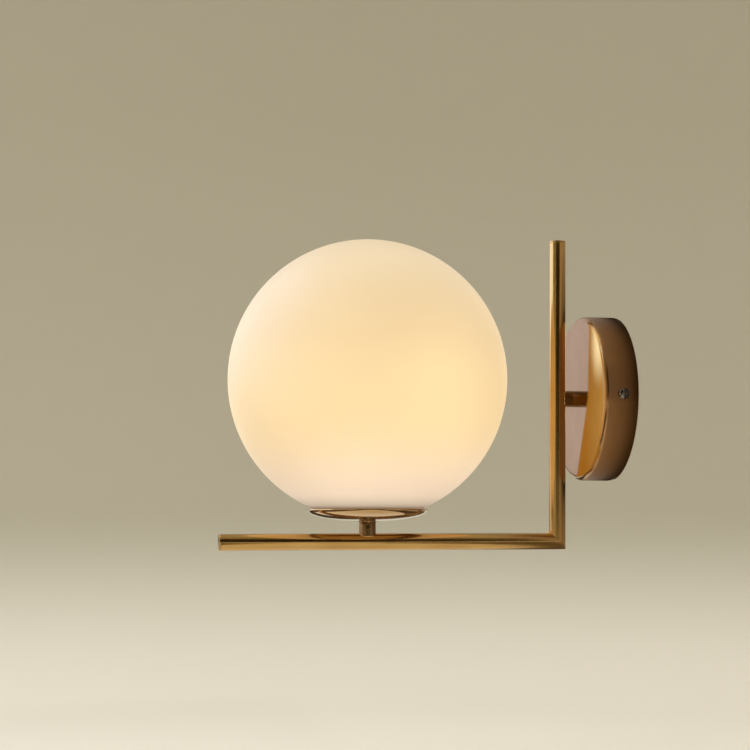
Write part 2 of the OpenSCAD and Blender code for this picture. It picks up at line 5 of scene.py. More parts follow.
import bmesh
import bpy
import numpy as np
from mathutils import Matrix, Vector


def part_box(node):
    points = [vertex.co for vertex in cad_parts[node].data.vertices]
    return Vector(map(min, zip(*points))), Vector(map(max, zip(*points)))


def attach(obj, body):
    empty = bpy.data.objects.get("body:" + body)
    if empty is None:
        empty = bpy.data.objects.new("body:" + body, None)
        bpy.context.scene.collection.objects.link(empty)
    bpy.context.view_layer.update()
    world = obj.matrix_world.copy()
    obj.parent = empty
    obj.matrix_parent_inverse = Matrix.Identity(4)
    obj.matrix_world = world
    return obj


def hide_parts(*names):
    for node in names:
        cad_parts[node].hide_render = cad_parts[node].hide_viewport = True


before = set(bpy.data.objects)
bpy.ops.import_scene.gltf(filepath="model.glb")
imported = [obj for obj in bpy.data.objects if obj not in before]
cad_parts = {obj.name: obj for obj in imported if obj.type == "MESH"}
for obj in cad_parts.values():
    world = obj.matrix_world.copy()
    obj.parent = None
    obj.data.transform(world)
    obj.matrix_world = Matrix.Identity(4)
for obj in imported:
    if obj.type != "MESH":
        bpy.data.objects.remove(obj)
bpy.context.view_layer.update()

bl_info = {
    "name": "Globe wall sconce",
    "version": (1, 0, 0),
    "blender": (4, 5, 0),
    "location": "3D View > Sidebar > Sconce",
    "description": "Builds a wall sconce with an opal globe on an L of brass tube",
    "category": "Add Mesh",
}

MM = 0.001

# Sizes that come from the frame

def snapped(value, step=0.1 * MM):
    """A length read off a faceted mesh, rounded to the size it stands for."""
    return round(value / step) * step


def low_of(node, axis):
    """The lowest place of a node's box along an axis."""
    return snapped(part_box(node)[0][axis])


def high_of(node, axis):
    """The highest place of a node's box along an axis."""
    return snapped(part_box(node)[1][axis])


def middle_of(node, axis):
    """Half the sum of the lowest and the highest place of a node's box along an axis."""
    low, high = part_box(node)
    return snapped((low[axis] + high[axis]) / 2)


def radius_of(node, axis, step=0.1 * MM):
    """Half the width of a node's box along an axis."""
    low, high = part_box(node)
    return snapped((high[axis] - low[axis]) / 2, step)


X, Y, Z = 0, 1, 2
POST_Y = middle_of("post", Y)
ARM_Z = middle_of("arm", Z)
GLOBE_Y = middle_of("saucer", Y)
PLATE_FACE = -low_of("wall_plate", Y)
SIDE_SCREW_Y = middle_of("cover_screws", Y)
GLOBE_AXIS = (0, GLOBE_Y, 0)

# Sizes that several pieces share

NIPPLE_RADIUS = 5 * MM
NIPPLE_HOLE = 5.2 * MM
NUT_BORE = 5.05 * MM
NUT_FLATS = 14 * MM
SCREW_SHANK = 2 * MM
SCREW_PITCH = 0.7 * MM
THREAD_DEPTH = 0.35 * MM
CAP_PITCH = 3.63 * MM
HOLDER_FLOOR = 3.5 * MM
WIRE_GRIP = 4 * MM

# Levels and places of the picture

GLOW_LEVEL = 0.82
FLOOR_Z = -0.42
CARD_RADIUS = 2.4


# Properties

def length(name, description, default):
    """A size that a user can change, shown in the scene's unit of length."""
    return bpy.props.FloatProperty(name=name, description=description, default=default, unit="LENGTH")


def linear(hex_colour):
    """An sRGB hex colour as linear red, green, blue and alpha."""
    shares = [int(hex_colour[i:i + 2], 16) / 255 for i in (1, 3, 5)]
    return tuple(s / 12.92 if s <= 0.04045 else ((s + 0.055) / 1.055) ** 2.4 for s in shares) + (1.0,)


def colour(name, description, hex_colour):
    """A colour that a user can change, given as an sRGB hex value."""
    return bpy.props.FloatVectorProperty(
        name=name, description=description, default=linear(hex_colour), subtype="COLOR", size=4, min=0, max=1
    )


class SconceSizes(bpy.types.PropertyGroup):
    """Real sizes of the sconce, taken from the frame where it has them"""

    tube_radius: length("Tube radius", "Outer radius of the brass tube", radius_of("post", X))
    tube_wall: length("Tube wall", "Wall of the brass tube", 1.5 * MM)
    plate_radius: length(
        "Plate radius", "Outer radius of the wall plate", radius_of("wall_plate", X, 0.5 * MM)
    )
    plate_wall: length("Plate wall", "Sheet thickness of the wall plate", 1.5 * MM)
    plate_edge: length("Plate edge", "Radius of the wall plate's front edge", 3.2 * MM)
    globe_radius: length("Globe radius", "Outer radius of the glass", radius_of("globe", X, 0.5 * MM))
    globe_wall: length("Glass thickness", "Thickness of the opal glass", 3 * MM)
    mouth_radius: length("Mouth radius", "Radius of the opening under the globe", 33 * MM)
    saucer_radius: length("Saucer radius", "Outer radius of the saucer", radius_of("saucer", X, 0.5 * MM))
    saucer_wall: length("Saucer wall", "Sheet thickness of the saucer", 1.2 * MM)
    saucer_bead: length("Saucer bead", "Radius of the saucer's rolled rim", 1 * MM)
    saucer_seat: length("Saucer seat", "Radius of the flat under the saucer", 7 * MM)
    bead: length("Braze bead", "Radius of the braze where tubes meet", 0.55 * MM)
    wire_radius: length("Wire radius", "Radius of an insulated wire", 1 * MM)


class SconceFinishes(bpy.types.PropertyGroup):
    """Colours of the sconce's finishes"""

    brass: colour("Brass", "Lacquered brass of the tubes", "#C8A463")
    brass_shade: colour("Brass shade", "Darker patches of the tubes' brass", "#B48D50")
    # Painted shade: the stem and standoff's brass is drawn darker for the shade they sit in, under the
    # saucer and between the post and the plate.
    dark_brass: colour("Dark brass", "Darkened brass of the stem and standoff", "#8A6A40")
    brass_in_painted_shade_patches: colour("Dark brass shade", "Darker patches of the stem and standoff", "#6E5230")
    plate: colour("Plate brass", "Polished brass of the wall plate's face", "#C4A276")
    plate_shade: colour("Plate shade", "Darker patches of the plate's brass", "#AD8751")
    plate_side: colour("Plate side", "Brushed brass of the wall plate's side", "#A07543")
    glass: colour("Opal glass", "Opal glass where the light doesn't reach it", "#989084")
    glow: colour("Glow", "Light of the lit glass", "#FFDA9C")
    floor: colour("Floor", "Paint of the floor", "#F3EEE2")
    backdrop: colour("Backdrop", "Paint of the backdrop", "#BBB5A2")


# Meshes

AXES = {
    "up": ((1, 0, 0), (0, 1, 0), (0, 0, 1)),
    "out": ((1, 0, 0), (0, 0, 1), (0, -1, 0)),
    "right": ((0, 1, 0), (0, 0, 1), (1, 0, 0)),
    "left": ((0, -1, 0), (0, 0, 1), (-1, 0, 0)),
}


def placed(points, origin=(0, 0, 0), way="up"):
    """Local points moved to the frame: each is origin plus x, y and z times the way's three directions."""
    return np.asarray(origin, float) + np.asarray(points, float) @ np.asarray(AXES[way], float)


def placed_surface(surface, origin=(0, 0, 0), way="up"):
    """A surface, which is its points and its faces, with the points moved to the frame."""
    points, faces = surface
    return placed(points, origin, way), faces


def grid_faces(rows, cols, ring_rows=True, ring_cols=True):
    """Quads of a grid of points stored row by row; a ring joins the last row or column to the first."""
    i, j = np.meshgrid(
        np.arange(rows if ring_rows else rows - 1), np.arange(cols if ring_cols else cols - 1), indexing="ij"
    )
    next_i, next_j = (i + 1) % rows, (j + 1) % cols
    corners = (i * cols + j, i * cols + next_j, next_i * cols + next_j, next_i * cols + j)
    return np.stack(corners, -1).reshape(-1, 4)


def joined(*surfaces):
    """Several surfaces as one: their points in a row, and their faces counted on from there."""
    starts = np.cumsum([0] + [len(points) for points, _ in surfaces[:-1]])
    points = np.concatenate([points for points, _ in surfaces])
    faces = np.concatenate([faces + start for (_, faces), start in zip(surfaces, starts)])
    return points, faces


def welded_mesh(name, surface, material, sharp=38):
    """A mesh of the surface, with its seams and poles welded and its faces turned outwards."""
    points, faces = surface
    mesh = bpy.data.meshes.new(name)
    mesh.vertices.add(len(points))
    mesh.vertices.foreach_set("co", np.asarray(points, np.float32).ravel())
    mesh.loops.add(faces.size)
    mesh.loops.foreach_set("vertex_index", faces.astype(np.int32).ravel())
    mesh.polygons.add(len(faces))
    mesh.polygons.foreach_set("loop_start", np.arange(0, faces.size, 4, dtype=np.int32))
    mesh.update(calc_edges=True)
    shell = bmesh.new()
    shell.from_mesh(mesh)
    bmesh.ops.remove_doubles(shell, verts=shell.verts, dist=0.002 * MM)
    bmesh.ops.dissolve_degenerate(shell, edges=shell.edges, dist=0.001 * MM)
    bmesh.ops.recalc_face_normals(shell, faces=shell.faces)
    shell.to_mesh(mesh)
    shell.free()
    mesh.polygons.foreach_set("use_smooth", np.ones(len(mesh.polygons), bool))
    mesh.set_sharp_from_angle(angle=math.radians(sharp))
    mesh.materials.append(material)
    return mesh


def add_piece(name, surface, material, body, replaces=(), sharp=38):
    piece = bpy.data.objects.new(name, welded_mesh(name, surface, material, sharp))
    bpy.context.scene.collection.objects.link(piece)
    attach(piece, body)
    if replaces:
        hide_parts(*replaces)


def add_to_stage(name, surface, material):
    """Makes a floor, a wall or a card, which belongs to the picture and not to the lamp."""
    piece = bpy.data.objects.new(name, welded_mesh(name, surface, material))
    bpy.context.scene.collection.objects.link(piece)
    return piece


def arc(centre, radius, start, end, steps=8):
    """Points of an arc: centre plus radius times the cosine and sine of angles in degrees."""
    turn = np.radians(np.linspace(start, end, steps + 1))
    return np.asarray(centre, float) + radius * np.stack([np.cos(turn), np.sin(turn)], -1)


def outline(*parts):
    """Points and arcs of a closed outline, in order, as one array."""
    return np.concatenate([np.atleast_2d(np.asarray(part, float)) for part in parts])


def revolved(profile, sides=96):
    """A closed outline of radius and height turned round the axis: each point is radius times cosine, radius
    times sine, height."""
    turn = np.linspace(0, 2 * math.pi, sides, endpoint=False)
    radius, height = profile[:, :1], profile[:, 1:]
    points = np.stack([radius * np.cos(turn), radius * np.sin(turn), height + 0 * turn], -1)
    return points.reshape(-1, 3), grid_faces(len(profile), sides)


def waved(rows, cols, radius, height):
    """A ring of rows and columns where radius and height are whole arrays over row and angle."""
    turn = np.linspace(0, 2 * math.pi, cols, endpoint=False)
    points = np.stack(
        [radius * np.cos(turn), radius * np.sin(turn), np.broadcast_to(height, radius.shape)], -1
    )
    return points.reshape(-1, 3), grid_faces(rows, cols)


def angles(cols):
    """One row of angles, evenly spaced round a full turn."""
    return np.linspace(0, 2 * math.pi, cols, endpoint=False)[None, :]


def threaded(radius, depth, pitch, bottom, top, bore, cols=48):
    """A threaded tube: the radius drops by depth times a saw wave of height over pitch less angle over a
    turn, and the thread fades over half a pitch at each end."""
    rows_per_turn, fewest_rows = 8, 8
    rows = max(fewest_rows, int((top - bottom) / pitch * rows_per_turn))
    height = np.linspace(bottom, top, rows)[:, None]
    phase = height / pitch - angles(cols) / (2 * math.pi)
    wave = np.abs(2 * (phase - np.floor(phase)) - 1)
    fade = np.clip(np.minimum(height - bottom, top - height) / (0.5 * pitch), 0, 1)
    outer = radius - depth * (1 - (1 - wave) * fade)
    inner = np.full((2, cols), bore)
    heights = np.concatenate([np.broadcast_to(height, outer.shape), [[top] * cols, [bottom] * cols]])
    return waved(rows + 2, cols, np.concatenate([outer, inner]), heights)


def hex_nut(flats, bore, bottom, thickness, cols=96):
    """A nut: the radius of a hexagon at each angle, cut by a cone at its two ends, round a bore."""
    turn = angles(cols)
    sector = np.mod(turn + math.pi / 6, math.pi / 3) - math.pi / 6
    hexagon = flats / 2 / np.cos(sector)
    cone_over_flat = np.array([[0.97], [1.1], [1.2], [1.2], [1.1], [0.97]])
    height_share = np.array([[0], [0.1], [0.2], [0.8], [0.9], [1.0]])
    outer = np.minimum(np.broadcast_to(hexagon, (6, cols)), cone_over_flat * flats / 2)
    lead = 0.4 * MM
    inner = np.full((4, cols), bore)
    inner[[0, 3]] += lead
    ends = np.array([[thickness], [thickness - lead], [lead], [0]])
    height = bottom + np.concatenate([height_share * thickness, ends])
    return waved(10, cols, np.concatenate([outer, inner]), np.broadcast_to(height, (10, cols)))


def tube_shell(outer, wall, low, high, ease=0.25 * MM, cols=96):
    """A tube whose two ends follow low and high, functions of angle and radius. Each ring has a radius, a
    share of the way up and a shift, and ease rounds the upper rim."""
    inner = outer - wall
    rings = [
        (outer, 0, 0), (outer, 0.5, 0), (outer, 1, -ease), (outer - 0.3 * ease, 1, -0.3 * ease),
        (outer - ease, 1, 0), (inner, 1, 0), (inner, 0.5, 0), (inner, 0, 0),
    ]
    radius = np.array([[ring[0]] for ring in rings])
    share = np.array([[ring[1]] for ring in rings])
    shift = np.array([[ring[2]] for ring in rings])
    turn = angles(cols)
    height = low(turn, radius) * (1 - share) + high(turn, radius) * share + shift
    return waved(len(rings), cols, np.broadcast_to(radius, (len(rings), cols)), height)


def swept(path, radius, sides=16, closed=False):
    """A round tube along a path: each ring is the path's point plus radius times cosine and sine of two
    directions across it, both square to a fixed slant that no path here follows."""
    path = np.asarray(path, float)
    ahead, behind = np.roll(path, -1, 0), np.roll(path, 1, 0)
    if not closed:
        ahead[-1], behind[0] = path[-1], path[0]
    tangent = ahead - behind
    tangent /= np.linalg.norm(tangent, axis=1, keepdims=True)
    slant = (0.31, 0.52, 0.79)
    across = np.cross(tangent, slant)
    across /= np.linalg.norm(across, axis=1, keepdims=True)
    over = np.cross(tangent, across)
    turn = np.linspace(0, 2 * math.pi, sides, endpoint=False)
    spread = np.broadcast_to(np.asarray(radius, float), (len(path),))[:, None, None]
    ring = np.cos(turn)[None, :, None] * across[:, None] + np.sin(turn)[None, :, None] * over[:, None]
    points = path[:, None] + spread * ring
    if closed:
        return points.reshape(-1, 3), grid_faces(len(path), sides)
    caps = np.repeat(path[[0, -1]][:, None], sides, 1)
    points = np.concatenate([caps[:1], points, caps[1:]])
    return points.reshape(-1, 3), grid_faces(len(path) + 2, sides, ring_rows=False)


def bent_route(corners, bend, steps=8):
    """Corners of a route joined by quarter bends: straight runs, and between them arcs of the bend's
    radius."""
    corners = np.asarray(corners, float)
    before, at, after = corners[:-2], corners[1:-1], corners[2:]
    way_in = (at - before) / np.linalg.norm(at - before, axis=1, keepdims=True)
    way_out = (after - at) / np.linalg.norm(after - at, axis=1, keepdims=True)
    turn = np.radians(np.linspace(0, 90, steps + 1))[None, :, None]
    centre = (at - way_in * bend + way_out * bend)[:, None]
    arcs = centre + bend * (np.sin(turn) * way_in[:, None] - np.cos(turn) * way_out[:, None])
    return np.concatenate([corners[:1], arcs.reshape(-1, 3), corners[-1:]])


def smooth_step(share):
    """The share squared times 3 less twice the share, once the share is held between 0 and 1."""
    share = np.clip(share, 0, 1)
    return share * share * (3 - 2 * share)


def screw_head(radius, height, recess, cols=96, rows=40):
    """A domed head, sunk where the cross's two arms run. Its height is a share at the edge, and over that
    the root of 1 less a power of the share of the radius."""
    edge_height, dome_power = 0.35, 2.4
    arm_half, arm_wall, arm_reach, arm_end = 0.13, 0.06, 0.58, 0.18
    share = np.linspace(1, 0, rows)[:, None]
    turn = angles(cols)
    dome = height * (edge_height + (1 - edge_height) * np.sqrt(np.clip(1 - share ** dome_power, 0, 1)))
    x, y = np.abs(share * np.cos(turn)), np.abs(share * np.sin(turn))
    inside = smooth_step((arm_half - np.minimum(x, y)) / arm_wall + 0.5)
    reach = smooth_step((arm_reach - np.maximum(x, y)) / arm_end + 0.5)
    top = dome - recess * inside * reach
    side = np.zeros((2, cols))
    heights = np.concatenate([side, np.broadcast_to(top, (rows, cols))])
    radii = np.concatenate([[[0] * cols, [radius] * cols], np.broadcast_to(share * radius, (rows, cols))])
    return waved(rows + 2, cols, radii, heights)


# Materials

# The sockets of a colour mix go by number, because its other kinds have sockets of the same names
MIX_FACTOR, MIX_FIRST, MIX_SECOND, MIX_RESULT = 0, 6, 7, 2

# The middle half of a noise, over which blotches run from one tone to the other
BLOTCH_LOW, BLOTCH_HIGH = 0.25, 0.75


def add_node(tree, kind, inputs=None, **settings):
    """Adds a node with its settings. Each input, by name or number, gets a value, or a link from a socket or
    from another node's first output."""
    node = tree.nodes.new(kind)
    for name, value in settings.items():
        setattr(node, name, value)
    for name, value in (inputs or {}).items():
        if isinstance(value, bpy.types.Node):
            value = value.outputs[0]
        if isinstance(value, bpy.types.NodeSocket):
            tree.links.new(value, node.inputs[name])
        else:
            node.inputs[name].default_value = value
    return node


def new_material(name):
    """An empty node material with its output, ready for a shader."""
    material = bpy.data.materials.new(name)
    material.use_nodes = True
    tree = material.node_tree
    tree.nodes.clear()
    return material, tree, add_node(tree, "ShaderNodeOutputMaterial")


def finished(material, tree, output, shader):
    """The material once its shader is joined to its output."""
    tree.links.new(shader.outputs[0], output.inputs["Surface"])
    return material


def graded(tree, measure, start, end, first, second, ease="LINEAR"):
    """A colour that runs from the first to the second while a measure runs from start to end."""
    share = add_node(
        tree, "ShaderNodeMapRange", {"Value": measure, "From Min": start, "From Max": end},
        interpolation_type=ease,
    )
    mix = add_node(
        tree, "ShaderNodeMix", {MIX_FACTOR: share, MIX_FIRST: first, MIX_SECOND: second}, data_type="RGBA"
    )
    return mix.outputs[MIX_RESULT]


def two_tone(tree, place, size, first, second):
    """Soft blotches of a real size in two colours: the colour, and the noise whose middle half runs from the
    first to the second."""
    blotches = add_node(
        tree, "ShaderNodeTexNoise", {"Vector": place, "Scale": 1 / size, "Detail": 3.0, "Roughness": 0.55}
    )
    return graded(tree, blotches, BLOTCH_LOW, BLOTCH_HIGH, first, second), blotches


def fine_skin(tree, place, size, detail, depth, glossiest, dullest):
    """A noise of a real size that raises the surface by a real depth and takes its roughness from one level
    to another: the roughness and the surface's direction. Real polishing lines, spinning rings and etching
    are several times finer, and are drawn as coarse as it takes to show."""
    skin = add_node(tree, "ShaderNodeTexNoise", {"Vector": place, "Scale": 1 / size, "Detail": detail})
    gloss = add_node(tree, "ShaderNodeMapRange", {"Value": skin, "To Min": glossiest, "To Max": dullest})
    return gloss, add_node(tree, "ShaderNodeBump", {"Height": skin, "Distance": depth})


def drawn_brass(name, finish, shade, along, roughness=0.2):
    """Brass tube, drawn, polished with fine lines along it, and lacquered: clean long highlights in warm
    gold."""
    line_spacing, line_run, line_depth = 0.35 * MM, 40 * MM, 0.0011 * MM
    patch_size, spread = 55 * MM, 0.05
    material, tree, output = new_material(name)
    place = add_node(tree, "ShaderNodeTexCoord").outputs["Object"]
    scale = [1 / line_spacing] * 3
    scale[along] = 1 / line_run
    lines = add_node(tree, "ShaderNodeMapping", {"Vector": place, "Scale": scale})
    gloss, normal = fine_skin(tree, lines, 1.0, 2.0, line_depth, roughness - spread, roughness + spread)
    tone, _ = two_tone(tree, place, patch_size, tuple(finish), tuple(shade))
    shader = add_node(
        tree, "ShaderNodeBsdfPrincipled",
        {
            "Base Color": tone, "Metallic": 1.0, "Roughness": gloss, "Normal": normal,
            "Coat Weight": 0.4, "Coat Roughness": 0.12,
        },
    )
    return finished(material, tree, output, shader)


def spun_brass(name, finish, shade, centre, axis, roughness=0.2, rim=None):
    """Brass sheet spun on a lathe and lacquered: fine rings round its axis fan the highlights out from the
    centre. A rim, given as radius, width, colour and roughness, is brushed duller than the face."""
    ring_spacing, ring_depth, patch_size = 0.3 * MM, 0.0012 * MM, 35 * MM
    glossiest, dullest = 0.85 * roughness, 1.2 * roughness
    material, tree, output = new_material(name)
    place = add_node(tree, "ShaderNodeTexCoord").outputs["Object"]
    local = add_node(tree, "ShaderNodeVectorMath", {0: place, 1: centre}, operation="SUBTRACT")
    flat_mask = [1.0, 1.0, 1.0]
    flat_mask[axis] = 0.0
    flat = add_node(tree, "ShaderNodeVectorMath", {0: local, 1: flat_mask}, operation="MULTIPLY")
    radius = add_node(tree, "ShaderNodeVectorMath", {0: flat}, operation="LENGTH").outputs["Value"]
    along = add_node(tree, "ShaderNodeSeparateXYZ", {"Vector": local}).outputs[axis]
    rings = add_node(tree, "ShaderNodeCombineXYZ", {"X": radius, "Y": along})
    gloss, normal = fine_skin(tree, rings, ring_spacing, 2.0, ring_depth, glossiest, dullest)
    tone, _ = two_tone(tree, place, patch_size, tuple(finish), tuple(shade))
    if rim:
        rim_radius, rim_width, rim_colour, rim_roughness = rim
        rim_start = rim_radius - rim_width
        tone = graded(tree, radius, rim_start, rim_radius, tone, tuple(rim_colour))
        gloss = add_node(
            tree, "ShaderNodeMapRange",
            {
                "Value": radius, "From Min": rim_start, "From Max": rim_radius,
                "To Min": gloss, "To Max": rim_roughness,
            },
        )
    tangent = add_node(tree, "ShaderNodeTangent", direction_type="RADIAL", axis="XYZ"[axis])
    shader = add_node(
        tree, "ShaderNodeBsdfPrincipled",
        {
            "Base Color": tone, "Metallic": 1.0, "Roughness": gloss, "Normal": normal, "Tangent": tangent,
            "Anisotropic": 0.7, "Anisotropic Rotation": 0.25, "Coat Weight": 0.8, "Coat Roughness": 0.1,
        },
    )
    return finished(material, tree, output, shader)


def plain_metal(name, hex_colour, hex_shade, roughness, patch_size=6 * MM, spread=0.08, dent=0.01 * MM):
    """Turned, plated or cast metal: soft patches of tone and gloss, and a faint orange-peel bump."""
    skin_size = 0.5 * MM
    material, tree, output = new_material(name)
    place = add_node(tree, "ShaderNodeTexCoord").outputs["Object"]
    tone, blotches = two_tone(tree, place, patch_size, linear(hex_colour), linear(hex_shade))
    gloss = add_node(
        tree, "ShaderNodeMapRange",
        {
            "Value": blotches, "From Min": BLOTCH_LOW, "From Max": BLOTCH_HIGH,
            "To Min": roughness - spread / 2, "To Max": roughness + spread / 2,
        },
    )
    skin = add_node(tree, "ShaderNodeTexNoise", {"Vector": place, "Scale": 1 / skin_size, "Detail": 2.0})
    bump = add_node(tree, "ShaderNodeBump", {"Height": skin, "Distance": dent})
    shader = add_node(
        tree, "ShaderNodeBsdfPrincipled",
        {"Base Color": tone, "Metallic": 1.0, "Roughness": gloss, "Normal": bump},
    )
    return finished(material, tree, output, shader)


def moulded(name, hex_colour, hex_shade, roughness, grain_size=0.4 * MM, dent=0.015 * MM, ior=1.5):
    """Moulded plastic, rubber or fired ceramic: an even colour with a fine pebbled skin."""
    patch_size, spread = 8 * MM, 0.05
    material, tree, output = new_material(name)
    place = add_node(tree, "ShaderNodeTexCoord").outputs["Object"]
    tone, _ = two_tone(tree, place, patch_size, linear(hex_colour), linear(hex_shade))
    gloss, normal = fine_skin(tree, place, grain_size, 3.0, dent, roughness - spread, roughness + spread)
    shader = add_node(
        tree, "ShaderNodeBsdfPrincipled",
        {"Base Color": tone, "Roughness": gloss, "Normal": normal, "IOR": ior},
    )
    return finished(material, tree, output, shader)


def glow_by_height(tree, height):
    """Share of the full light from the glass's foot at -1 to its top at 1: dim at the neck, which the
    gallery shades, full beside the bulb and less towards the top."""
    stops = ((0.0, 0.24), (0.045, 0.28), (0.085, 0.80), (0.2, 0.93), (0.42, 1.0), (0.62, 0.91), (1.0, 0.49))
    rise = add_node(tree, "ShaderNodeMapRange", {"Value": height, "From Min": -1.0, "From Max": 1.0})
    level = add_node(tree, "ShaderNodeValToRGB", {"Fac": rise})
    ramp = level.color_ramp
    while len(ramp.elements) < len(stops):
        ramp.elements.new(0.5)
    for element, (position, share) in zip(ramp.elements, stops):
        element.position = position
        element.color = (share, share, share, 1)
    ramp.interpolation = "B_SPLINE"
    return level


def glow_round_bulb(tree, across, outward, height):
    """Faint bright patches round the glass beside the bulb: 1 plus a small share of the cosine of the
    azimuth times the patches' number, fading with the square of the height from the belt."""
    count, first, swell = 6.0, math.radians(48.7 - 90), 0.035
    belt_height, belt_reach = -0.1, 0.22
    azimuth = add_node(tree, "ShaderNodeMath", {0: outward, 1: across}, operation="ARCTAN2")
    phase = add_node(
        tree, "ShaderNodeMath", {0: azimuth, 1: count, 2: -count * first}, operation="MULTIPLY_ADD"
    )
    wave = add_node(tree, "ShaderNodeMath", {0: phase}, operation="COSINE")
    rise = add_node(tree, "ShaderNodeMath", {0: height, 1: belt_height}, operation="SUBTRACT")
    squared = add_node(tree, "ShaderNodeMath", {0: rise, 1: rise}, operation="MULTIPLY")
    belt = add_node(
        tree, "ShaderNodeMapRange", {"Value": squared, "From Max": belt_reach, "To Min": 1.0, "To Max": 0.0}
    )
    patches = add_node(tree, "ShaderNodeMath", {0: wave, 1: belt}, operation="MULTIPLY")
    return add_node(tree, "ShaderNodeMath", {0: patches, 1: swell, 2: 1.0}, operation="MULTIPLY_ADD")


def opal_glass(finishes, centre, radius):
    """Blown opal glass, etched satin and lit from inside, with its light painted on as a glow: warm, fuller
    where the bulb shines on it, fading at the neck where the gallery shades it, paler near the foot as
    painted light from the saucer and floor, and a little dimmer towards the front as painted shade, where
    the key lamp lights it whiter. It keeps a whitish sheen from the room."""
    cloud_size, etch_size, etch_depth, dimmed_front_share = 60 * MM, 0.6 * MM, 0.01 * MM, 0.86
    material, tree, output = new_material("blown_opal_glass")
    place = add_node(tree, "ShaderNodeTexCoord").outputs["Object"]
    local = add_node(tree, "ShaderNodeVectorMath", {0: place, 1: centre}, operation="SUBTRACT")
    unit = add_node(tree, "ShaderNodeVectorMath", {0: local, "Scale": 1 / radius}, operation="SCALE")
    across, outward, height = add_node(tree, "ShaderNodeSeparateXYZ", {"Vector": unit}).outputs
    streaks = add_node(
        tree, "ShaderNodeTexNoise",
        {"Vector": place, "Scale": 1 / cloud_size, "Detail": 1.0, "Roughness": 0.4},
    )
    cloud = add_node(tree, "ShaderNodeMapRange", {"Value": streaks, "To Min": 0.97, "To Max": 1.03})
    patchy = add_node(
        tree, "ShaderNodeMath", {0: glow_round_bulb(tree, across, outward, height), 1: cloud},
        operation="MULTIPLY",
    )
    strength = add_node(
        tree, "ShaderNodeMath", {0: glow_by_height(tree, height), 1: patchy}, operation="MULTIPLY"
    )
    # Painted shade in the glow: dimmer towards the front, which the key lamp lights whiter instead.
    painted_front_dimming = add_node(
        tree, "ShaderNodeMapRange",
        {
            "Value": outward, "From Min": -1.0, "From Max": -0.2,
            "To Min": dimmed_front_share * GLOW_LEVEL, "To Max": GLOW_LEVEL,
        },
        interpolation_type="SMOOTHSTEP",
    )
    lit = add_node(tree, "ShaderNodeMath", {0: strength, 1: painted_front_dimming}, operation="MULTIPLY")
    # The glow's tint turns paler towards the foot: painted light from the saucer and floor.
    warmth = graded(tree, height, -0.95, -0.3, linear("#FFDFC4"), tuple(finishes.glow), "SMOOTHSTEP")
    tone = graded(tree, streaks, 0.0, 1.0, tuple(finishes.glass), linear("#9F978A"))
    gloss, normal = fine_skin(tree, place, etch_size, 2.0, etch_depth, 0.42, 0.5)
    shader = add_node(
        tree, "ShaderNodeBsdfPrincipled",
        {
            "Base Color": tone, "Roughness": gloss, "Normal": normal, "IOR": 1.5,
            "Sheen Weight": 0.4, "Sheen Roughness": 0.5,
            "Emission Color": warmth, "Emission Strength": lit,
        },
    )
    return finished(material, tree, output, shader)


def frosted_dome():
    """Frosted polycarbonate of the bulb, lit from inside: a brighter, whiter glow than the globe's."""
    haze_size = 12 * MM
    material, tree, output = new_material("frosted_polycarbonate")
    place = add_node(tree, "ShaderNodeTexCoord").outputs["Object"]
    haze = add_node(tree, "ShaderNodeTexNoise", {"Vector": place, "Scale": 1 / haze_size, "Detail": 2.0})
    gloss = add_node(tree, "ShaderNodeMapRange", {"Value": haze, "To Min": 0.5, "To Max": 0.6})
    shader = add_node(
        tree, "ShaderNodeBsdfPrincipled",
        {
            "Base Color": graded(tree, haze, 0.0, 1.0, linear("#E9E2D4"), linear("#F4EEE2")),
            "Roughness": gloss, "IOR": 1.58, "Emission Strength": 0.9,
            "Emission Color": graded(tree, haze, 0.0, 1.0, linear("#FFE2B4"), linear("#FFEBC8")),
        },
    )
    return finished(material, tree, output, shader)


def striped_insulation(name, hex_colour, hex_stripe):
    """Two-colour insulation of an earth wire: a stripe that winds round the wire as it goes."""
    stripe_run, stripe_from, stripe_to = 9 * MM, 0.62, 0.7
    material, tree, output = new_material(name)
    place = add_node(tree, "ShaderNodeTexCoord").outputs["Object"]
    wave = add_node(
        tree, "ShaderNodeTexWave", {"Vector": place, "Scale": 1 / stripe_run},
        wave_type="BANDS", bands_direction="DIAGONAL",
    ).outputs["Fac"]
    tone = graded(tree, wave, stripe_from, stripe_to, linear(hex_colour), linear(hex_stripe))
    shader = add_node(
        tree, "ShaderNodeBsdfPrincipled", {"Base Color": tone, "Roughness": 0.42, "IOR": 1.54}
    )
    return finished(material, tree, output, shader)


FINISHES = {}


def finish_named(name):
    """One of the materials that the first operator makes."""
    return FINISHES[name]


def paint(node, name):
    """Gives a CAD node one of the finishes in place of its own colour."""
    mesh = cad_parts[node].data
    mesh.materials.clear()
    mesh.materials.append(finish_named(name))


# Operators

